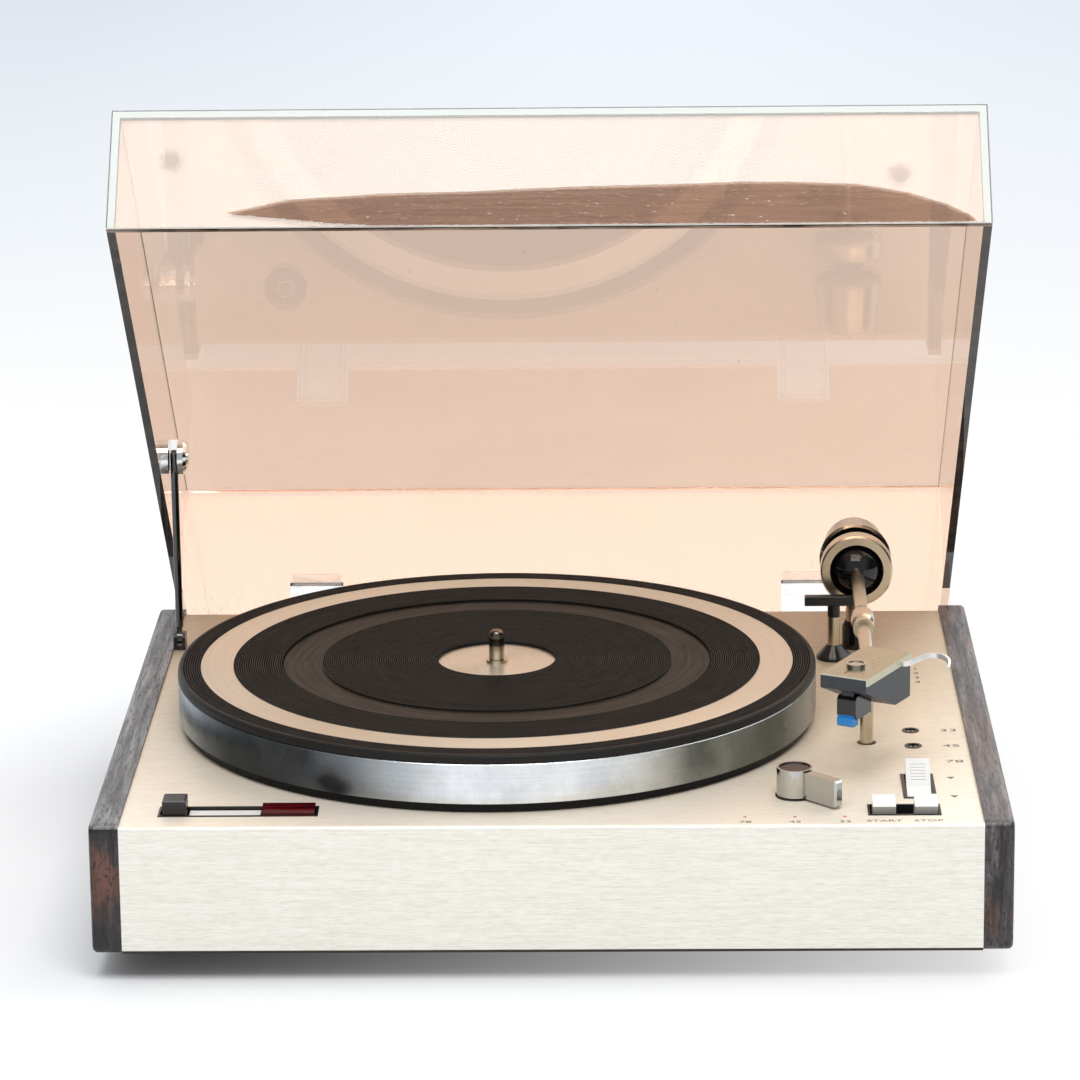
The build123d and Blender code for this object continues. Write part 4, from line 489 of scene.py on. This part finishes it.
# Painted reflection: darker where the rim faces left or right, by the world direction of its normal
looking = rim.node("ShaderNodeNewGeometry")
sideways = rim.node("ShaderNodeSeparateXYZ")
rim.link(looking.outputs["Normal"], sideways.inputs[0])
room_reflection = rim.ramp(rim.grey(sideways.outputs["X"], 0, 1, -1, 1), (
    (0.00, (0.52, 0.56, 0.60)), (0.03, (0.34, 0.38, 0.42)), (0.06, (0.13, 0.15, 0.17)),
    (0.10, (0.06, 0.07, 0.075)), (0.20, (0.08, 0.09, 0.10)), (0.29, (0.22, 0.24, 0.26)),
    (0.36, (0.52, 0.54, 0.56)), (0.45, (1, 1, 1)), (0.66, (1, 1, 1)), (0.76, (0.66, 0.67, 0.66)),
    (0.80, (0.30, 0.31, 0.30)), (0.85, (0.34, 0.35, 0.33)), (0.92, (0.13, 0.14, 0.12)), (1.00, (0.16, 0.16, 0.14))))
rim.color(rim.mix(1.0, rim_base, room_reflection, "MULTIPLY"))
rim.rough(rim.grey(broad, 0.20, 0.34))
rim.bump(streaks, 0.08, 0.00004)

mat_metal = turned("mat_metal", (0.74, 0.71, 0.62), 0.34, 0.06, 1800, 0.75)

# Controls and small parts
lens = Shader("lens_red", (0.10, 0.004, 0.008), 0.10, Transmission_Weight=0.2)
lens_ridges = lens.noise(lens.coords((20, 1500, 1500)), 1.0)
lens.color(lens.ramp(lens_ridges, ((0.4, (0.020, 0.001, 0.002)), (0.6, (0.20, 0.008, 0.014)))))
lens.bump(lens_ridges, 0.6, 0.0003)

weight = Shader("weight_metal", (0.36, 0.30, 0.23), 0.16, 1.0)
weight_lines = weight.noise(weight.coords((900, 40, 900)), 1.0, 3.0)
weight_body = weight.ramp(weight_lines, ((0.3, (0.34, 0.29, 0.22)), (0.7, (0.46, 0.40, 0.31))))
weight_front = weight.facing((math.sin(ARM_SWING), -math.cos(ARM_SWING), 0), 0.9)
weight.color(weight.mix(weight_front, weight_body, (0.007, 0.007, 0.007)))
weight.feed("Metallic", weight.math("SUBTRACT", 1.0, weight_front))

key_white = Shader("key_white", (0.86, 0.85, 0.82), 0.22)
key_tone = key_white.noise(key_white.coords((60, 60, 60)), 1.0, 3.0)
key_base = key_white.ramp(key_tone, ((0.3, (0.82, 0.81, 0.78)), (0.7, (0.90, 0.89, 0.87))))
key_white.color(key_white.mix(key_white.facing((0, -1, 0)), key_base, (0.40, 0.39, 0.36)))

spindle_metal = Shader("spindle_metal", (0.55, 0.47, 0.34), 0.22, 1.0)
spindle_tone = spindle_metal.noise(spindle_metal.coords((40, 40, 1400)), 1.0, 3.0)
spindle_base = spindle_metal.ramp(spindle_tone, ((0.3, (0.48, 0.40, 0.28)), (0.7, (0.66, 0.57, 0.43))))
spindle_tip = spindle_metal.along((0, 0, 1), 0.0062, 0.0068)
spindle_metal.color(spindle_metal.mix(spindle_tip, spindle_base, (0.16, 0.13, 0.10)))

screw = Shader("screw_metal", (0.60, 0.58, 0.52), 0.14, 1.0)
screw_tone = screw.noise(screw.coords((500, 500, 500)), 1.0, 3.0)
screw.color(screw.ramp(screw_tone, ((0.3, (0.50, 0.48, 0.42)), (0.7, (0.68, 0.66, 0.60)))))

FINISH = {
    rosewood("rosewood_left", 1.3, False): "left_cheek",
    rosewood("rosewood_right", 7.9, True): "right_cheek",
    deck.material: "deck_plate",
    paint_dark: "rear_panel sub_chassis switch_bodies",
    satin("base_fibre", (0.05, 0.04, 0.03), 0.8, 0.0, 0.2, 300): "base_board",
    rubber: "feet isolators cord_grommets drive_belt rubber_mat",
    steel: "trimmer_front trimmer_middle trimmer_rear",
    black_plastic: "stay_foot control_frames power_slider adapter_well lifter_bar",
    black_gloss: "deck_collars arm_hub cartridge",
    black_matt: "platter_skirt sub_platter",
    brass: "bearing_housing motor_pulley",
    motor_metal: "drive_motor",
    satin("varnish", (0.10, 0.06, 0.03), 0.3, 0.0, 0.2, 200): "transformer",
    board: "circuit_board",
    white_plastic: "power_strip cue_lever",
    key_white.material: "start_key stop_key",
    lens.material: "pilot_lens",
    champagne: "arm_pillar lifter_column arm_rest gimbal_ring arm_tube tube_collar",
    satin("peg_grey", (0.62, 0.58, 0.50), 0.4, 0.0): "adapter_peg",
    lid_clear: "lid_top",
    hinge_clear: "hinge_brackets hinge_leaves",
    lid_front: "lid_front_wall",
    lid_rimmed: "lid_back_wall lid_side_walls",
    chrome: "stay_drum",
    knob_chrome: "speed_knob",
    screw.material: "headshell_screw",
    satin("lift_silver", (0.86, 0.85, 0.82), 0.34, 0.8, 0.04, 200): "finger_lift",
    dark_steel: "stay_rod",
    rim.material: "platter",
    mat_metal: "mat_rings",
    spindle_metal.material: "spindle",
    slate: "headshell_body",
    satin("plate_champagne", (0.52, 0.50, 0.38), 0.28, 1.0, 0.03, 80): "headshell_plate",
    blue: "stylus",
    weight.material: "counterweight",
}
for finish, names in FINISH.items():
    for name in names.split():
        slots = nodes[name].data.materials
        slots.clear()
        slots.append(finish)


def piece(name, verts, faces, body, finish):
    """A mesh piece in the shared frame that rides on a body."""
    mesh = bpy.data.meshes.new(name)
    mesh.from_pydata([tuple(v) for v in verts], [], faces)
    mesh.validate()
    mesh.materials.append(finish)
    made = bpy.data.objects.new(name, mesh)
    scene.collection.objects.link(made)
    bpy.context.view_layer.update()
    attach(made, body)
    return made


def lathe(name, profile, body, finish, centre=(0, 0), segments=256):
    """A closed profile of (radius, height) in millimetres, turned about a vertical axis."""
    count = len(profile)
    verts = []
    for i in range(segments):
        a = 2 * math.pi * i / segments
        for r, z in profile:
            verts.append((centre[0] + r * MM * math.cos(a), centre[1] + r * MM * math.sin(a), z * MM))
    faces = []
    for i in range(segments):
        j = (i + 1) % segments
        for k in range(count):
            m = (k + 1) % count
            faces.append((i * count + k, j * count + k, j * count + m, i * count + m))
    return piece(name, verts, faces, body, finish)


# Ribbed rubber mat, in millimetres from the spindle's axis and from the mat's top
MAT_RADIUS = 143.4
MAT_HOLE = 26.3
MAT_DEPTH = 3.6
EDGE_WIDE = 1.6
EDGE_HIGH = 1.9

# Outer and inner radius of each ribbed band, its count and depth, and the height of the plain band inside it
RIB_BANDS = ((141.4, 133.1, 8, 0.55, -1.2), (118.4, 96.1, 22, 0.55, -0.9), (78.7, 26.5, 54, 0.45, None))


def ribs(outer, inner, count, depth):
    """Points of a ribbed band from outer to inner, and which of them start a groove's faces."""
    points = []
    grooves = []
    pitch = (outer - inner) / count
    for index in range(count):
        start = outer - index * pitch
        grooves += [len(points) + 1, len(points) + 2, len(points) + 3]
        points += [(start, 0), (start - pitch * 0.45, 0)]
        points += [(start - pitch * 0.6, -depth), (start - pitch * 0.85, -depth)]
    points.append((inner, 0))
    return points, grooves


mat_profile = [(MAT_HOLE, -MAT_DEPTH), (MAT_RADIUS, -MAT_DEPTH)]
for degrees in range(0, 91, 15):
    a = math.radians(degrees)
    mat_profile.append((MAT_RADIUS - EDGE_WIDE * (1 - math.cos(a)), -EDGE_HIGH * (1 - math.sin(a))))
mat_grooves = []
for index, (outer, inner, count, depth, sunk) in enumerate(RIB_BANDS):
    points, grooves = ribs(outer, inner, count, depth)
    mat_grooves += [len(mat_profile) + k for k in grooves]
    mat_profile += points
    if sunk is not None:
        mat_profile += [(inner, sunk), (RIB_BANDS[index + 1][0], sunk)]
mat_visual = lathe("mat_ribbed", mat_profile, "platter", mat_rubber.material, segments=192)
# The groove faces take the near-black finish, painted shade
mat_visual.data.materials.append(mat_groove_shade)
for polygon in mat_visual.data.polygons:
    if polygon.index % len(mat_profile) in mat_grooves:
        polygon.material_index = 1
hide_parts("rubber_mat")

# Spindle with its rounded end, which is the part that is shaded smooth
AXIS = 0.01
spindle_shaft = [(AXIS, -60), (5.0, -60), (5.0, -0.2), (3.575, -0.2)]
spindle_end = [(3.575, 9.4), (3.4, 11.0), (3.0, 12.2), (2.3, 13.1), (1.3, 13.45), (AXIS, 13.5)]
spindle_profile = spindle_shaft + spindle_end
spindle_visual = lathe("spindle_round", spindle_profile, "platter", spindle_metal.material, segments=64)
for polygon in spindle_visual.data.polygons:
    polygon.use_smooth = len(spindle_shaft) <= polygon.index % len(spindle_profile) < len(spindle_profile) - 1
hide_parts("spindle")

# Headshell screw: the solid's, with what stands over its lowest part pressed down along its axis
screw_rise = 3.0 * MM
screw_squash = 0.5
screw_mesh = nodes["headshell_screw"].data
screw_top_face = max(screw_mesh.polygons, key=lambda p: p.area if p.normal.z > 0.9 else 0)
axis = screw_top_face.normal.copy()
screw_base = max(axis.dot(v.co) for v in screw_mesh.vertices) - screw_rise
low_verts = []
for vertex in screw_mesh.vertices:
    over = max(0.0, axis.dot(vertex.co) - screw_base)
    low_verts.append(vertex.co - axis * over * screw_squash)
low_faces = [tuple(p.vertices) for p in screw_mesh.polygons]
screw_visual = piece("screw_low", low_verts, low_faces, "arm", screw.material)
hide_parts("headshell_screw")

# Brown disc let into the knob
disc_radius = 6.85
disc_top = -13.6
disc_under = -14.2
disc_profile = [(AXIS, disc_under), (disc_radius, disc_under), (disc_radius, disc_top), (AXIS, disc_top)]
disc_finish = satin("brown_disc", (0.025, 0.016, 0.013), 0.3, 0.0)
disc = lathe("knob_disc", disc_profile, "knob", disc_finish, (KNOB_X, KNOB_Y), 64)

# Printed marks, a little above the deck
INK_UNDER = DECK_Z + 0.01 * MM
INK_TOP = DECK_Z + 0.05 * MM
ink_dark = satin("ink_dark", (0.15, 0.13, 0.11), 0.6, 0.0)
ink_red = satin("ink_red", (0.55, 0.05, 0.03), 0.6, 0.0)


def word(name, text, x, y, size, wide=1.5):
    """A printed word of the given size in millimetres, centred, lying on the deck."""
    curve = bpy.data.curves.new(name, "FONT")
    curve.body = text
    curve.size = size * MM
    curve.align_x = "CENTER"
    curve.align_y = "CENTER"
    curve.extrude = 0.00002
    curve.materials.append(ink_dark)
    made = bpy.data.objects.new(name, curve)
    made.location = (x, y, DECK_Z + 0.00004)
    made.scale = (wide, 1, 1)
    scene.collection.objects.link(made)
    bpy.context.view_layer.update()
    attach(made, "plinth")


def mark(name, outline, finish=ink_dark):
    """A flat printed shape on the deck."""
    count = len(outline)
    verts = [(x, y, INK_UNDER) for x, y in outline] + [(x, y, INK_TOP) for x, y in outline]
    faces = [tuple(range(count))[::-1], tuple(range(count, 2 * count))]
    faces += [(i, (i + 1) % count, count + (i + 1) % count, count + i) for i in range(count)]
    piece(name, verts, faces, "plinth", finish)


speed_x = 129.4 * MM
speed_step = 21.05 * MM
dot_y = FRONT_Y + 10.9 * MM
dot_radius = 0.75 * MM
dot_angles = [math.tau * k / 12 for k in range(12)]
trimmer_y = FRONT_Y + 85.7 * MM
trimmer_step = 22.4 * MM
for index, text in enumerate(("78", "45", "33")):
    x = speed_x + (index - 1) * speed_step
    word("speed_" + text, text, x, FRONT_Y + 4.2 * MM, 3.6)
    dot = [(x + dot_radius * math.cos(a), dot_y + dot_radius * math.sin(a)) for a in dot_angles]
    mark("dot_" + text, dot, ink_red)
    word("trim_" + text, text, 201.4 * MM, trimmer_y + trimmer_step * index, 5.2, 1.6)

scale_y = 66 * MM
scale_step = -7 * MM
for index in range(4):
    word("scale_%d" % (index + 1), str(index + 1), 192.0 * MM, scale_y + scale_step * index, 4.8, 1.25)
word("word_start", "START", 167.0 * MM, FRONT_Y + 5.0 * MM, 3.6, 1.45)
word("word_stop", "STOP", 185.6 * MM, FRONT_Y + 5.0 * MM, 3.6, 1.45)

cue_x = 198.3 * MM
arrow_half = 1.9 * MM
arrow_back = 1.4 * MM
arrow_ahead = 1.6 * MM
for index, front in enumerate((62.6, 37.1)):
    y = FRONT_Y + front * MM
    arrow = [(cue_x - arrow_half, y + arrow_back), (cue_x, y - arrow_ahead), (cue_x + arrow_half, y + arrow_back)]
    mark("cue_mark_%d" % index, arrow)

# Floor: paper that is lit by the lamps; behind the player it glows as a pale backdrop for the rays that show it,
# and near the player, more at its right, a painted glow lightens its shadow
paper = Shader("floor_paper", (0.90, 0.91, 0.92), 0.7)
ray = paper.node("ShaderNodeLightPath")
seen = paper.math("MAXIMUM", ray.outputs["Is Camera Ray"], ray.outputs["Is Transmission Ray"])
seen = paper.math("MAXIMUM", seen, ray.outputs["Is Glossy Ray"])
depth = paper.along((0, 1, 0), 0.0, 2.5)
middle = paper.ramp(depth, (
    (0.0, (1, 1, 1)), (0.34, (1, 1, 1)), (0.55, (0.92, 0.95, 0.985)), (1.0, (0.845, 0.90, 0.97))))
sides = paper.ramp(depth, (
    (0.0, (1, 1, 1)), (0.34, (1, 1, 1)), (0.55, (0.88, 0.92, 0.96)), (1.0, (0.745, 0.785, 0.86))))
aside = paper.math("MAXIMUM", paper.along((1, 0, 0), 0.15, 0.75), paper.along((-1, 0, 0), 0.0, 0.45))
glow = paper.node("ShaderNodeEmission")
paper.link(paper.mix(aside, middle, sides), glow.inputs["Color"])
behind = paper.along((0, 1, 0), 0.25, 0.75)
# Painted light: a glow that grows towards the right lightens the player's shadow on the floor there
beside = paper.along((1, 0, 0), -0.22, 0.24)
beside = paper.math("MULTIPLY", paper.math("MULTIPLY", beside, beside), 0.8)
shown = paper.node("ShaderNodeMixShader")
paper.link(paper.math("MULTIPLY", paper.math("MAXIMUM", behind, beside), seen), shown.inputs[0])
paper.link(paper.bsdf.outputs["BSDF"], shown.inputs[1])
paper.link(glow.outputs["Emission"], shown.inputs[2])
paper.link(shown.outputs[0], paper.tree.nodes["Material Output"].inputs["Surface"])
bpy.ops.mesh.primitive_plane_add(size=40, location=(0, 0, FLOOR_Z - 0.0002))
floor = bpy.context.object
floor.name = "floor"
floor.data.materials.append(paper.material)


def lamp(name, location, target, size, power):
    """A rectangular lamp turned toward its target."""
    data = bpy.data.lights.new(name, "AREA")
    data.shape = "RECTANGLE"
    data.size, data.size_y = size
    data.energy = power
    made = bpy.data.objects.new(name, data)
    made.location = location
    made.rotation_euler = (Vector(target) - Vector(location)).to_track_quat("-Z", "Y").to_euler()
    scene.collection.objects.link(made)


lamp("softbox", (0.0, -0.79, 1.58), (0.026, -0.04, 0.23), (1.3, 0.95), 21)
lamp("key", (1.0, 0.75, 1.3), (0, 0, 0), (1.9, 1.5), 15)

# World: even and pale, brighter behind and above, dark at the left and the right
world = bpy.data.worlds.new("world")
scene.world = world
world.use_nodes = True
tree = world.node_tree
where = tree.nodes.new("ShaderNodeTexCoord")


def quarter(direction, start, end):
    """0 to 1 as the view turns toward direction, from the cosine start to the cosine end."""
    dot = tree.nodes.new("ShaderNodeVectorMath")
    dot.operation = "DOT_PRODUCT"
    dot.inputs[1].default_value = Vector(direction).normalized()
    tree.links.new(where.outputs["Generated"], dot.inputs[0])
    made = tree.nodes.new("ShaderNodeMapRange")
    made.inputs["From Min"].default_value = start
    made.inputs["From Max"].default_value = end
    tree.links.new(dot.outputs["Value"], made.inputs["Value"])
    return made.outputs["Result"]


lit = tree.nodes.new("ShaderNodeMix")
lit.data_type = "RGBA"
lit.inputs[6].default_value = (0.50, 0.51, 0.53, 1)
lit.inputs[7].default_value = (1.15, 1.17, 1.20, 1)
tree.links.new(quarter((0, 1, 0.35), 0.35, 0.75), lit.inputs[0])
dark = tree.nodes.new("ShaderNodeMath")
dark.operation = "MAXIMUM"
tree.links.new(quarter((-1, 0, 0), 0.60, 0.85), dark.inputs[0])
tree.links.new(quarter((1, 0, 0), 0.60, 0.85), dark.inputs[1])
shade = tree.nodes.new("ShaderNodeMix")
shade.data_type = "RGBA"
shade.inputs[7].default_value = (0.04, 0.04, 0.045, 1)
tree.links.new(lit.outputs[2], shade.inputs[6])
tree.links.new(dark.outputs[0], shade.inputs[0])
tree.links.new(shade.outputs[2], tree.nodes["Background"].inputs["Color"])
tree.nodes["Background"].inputs["Strength"].default_value = 1.0
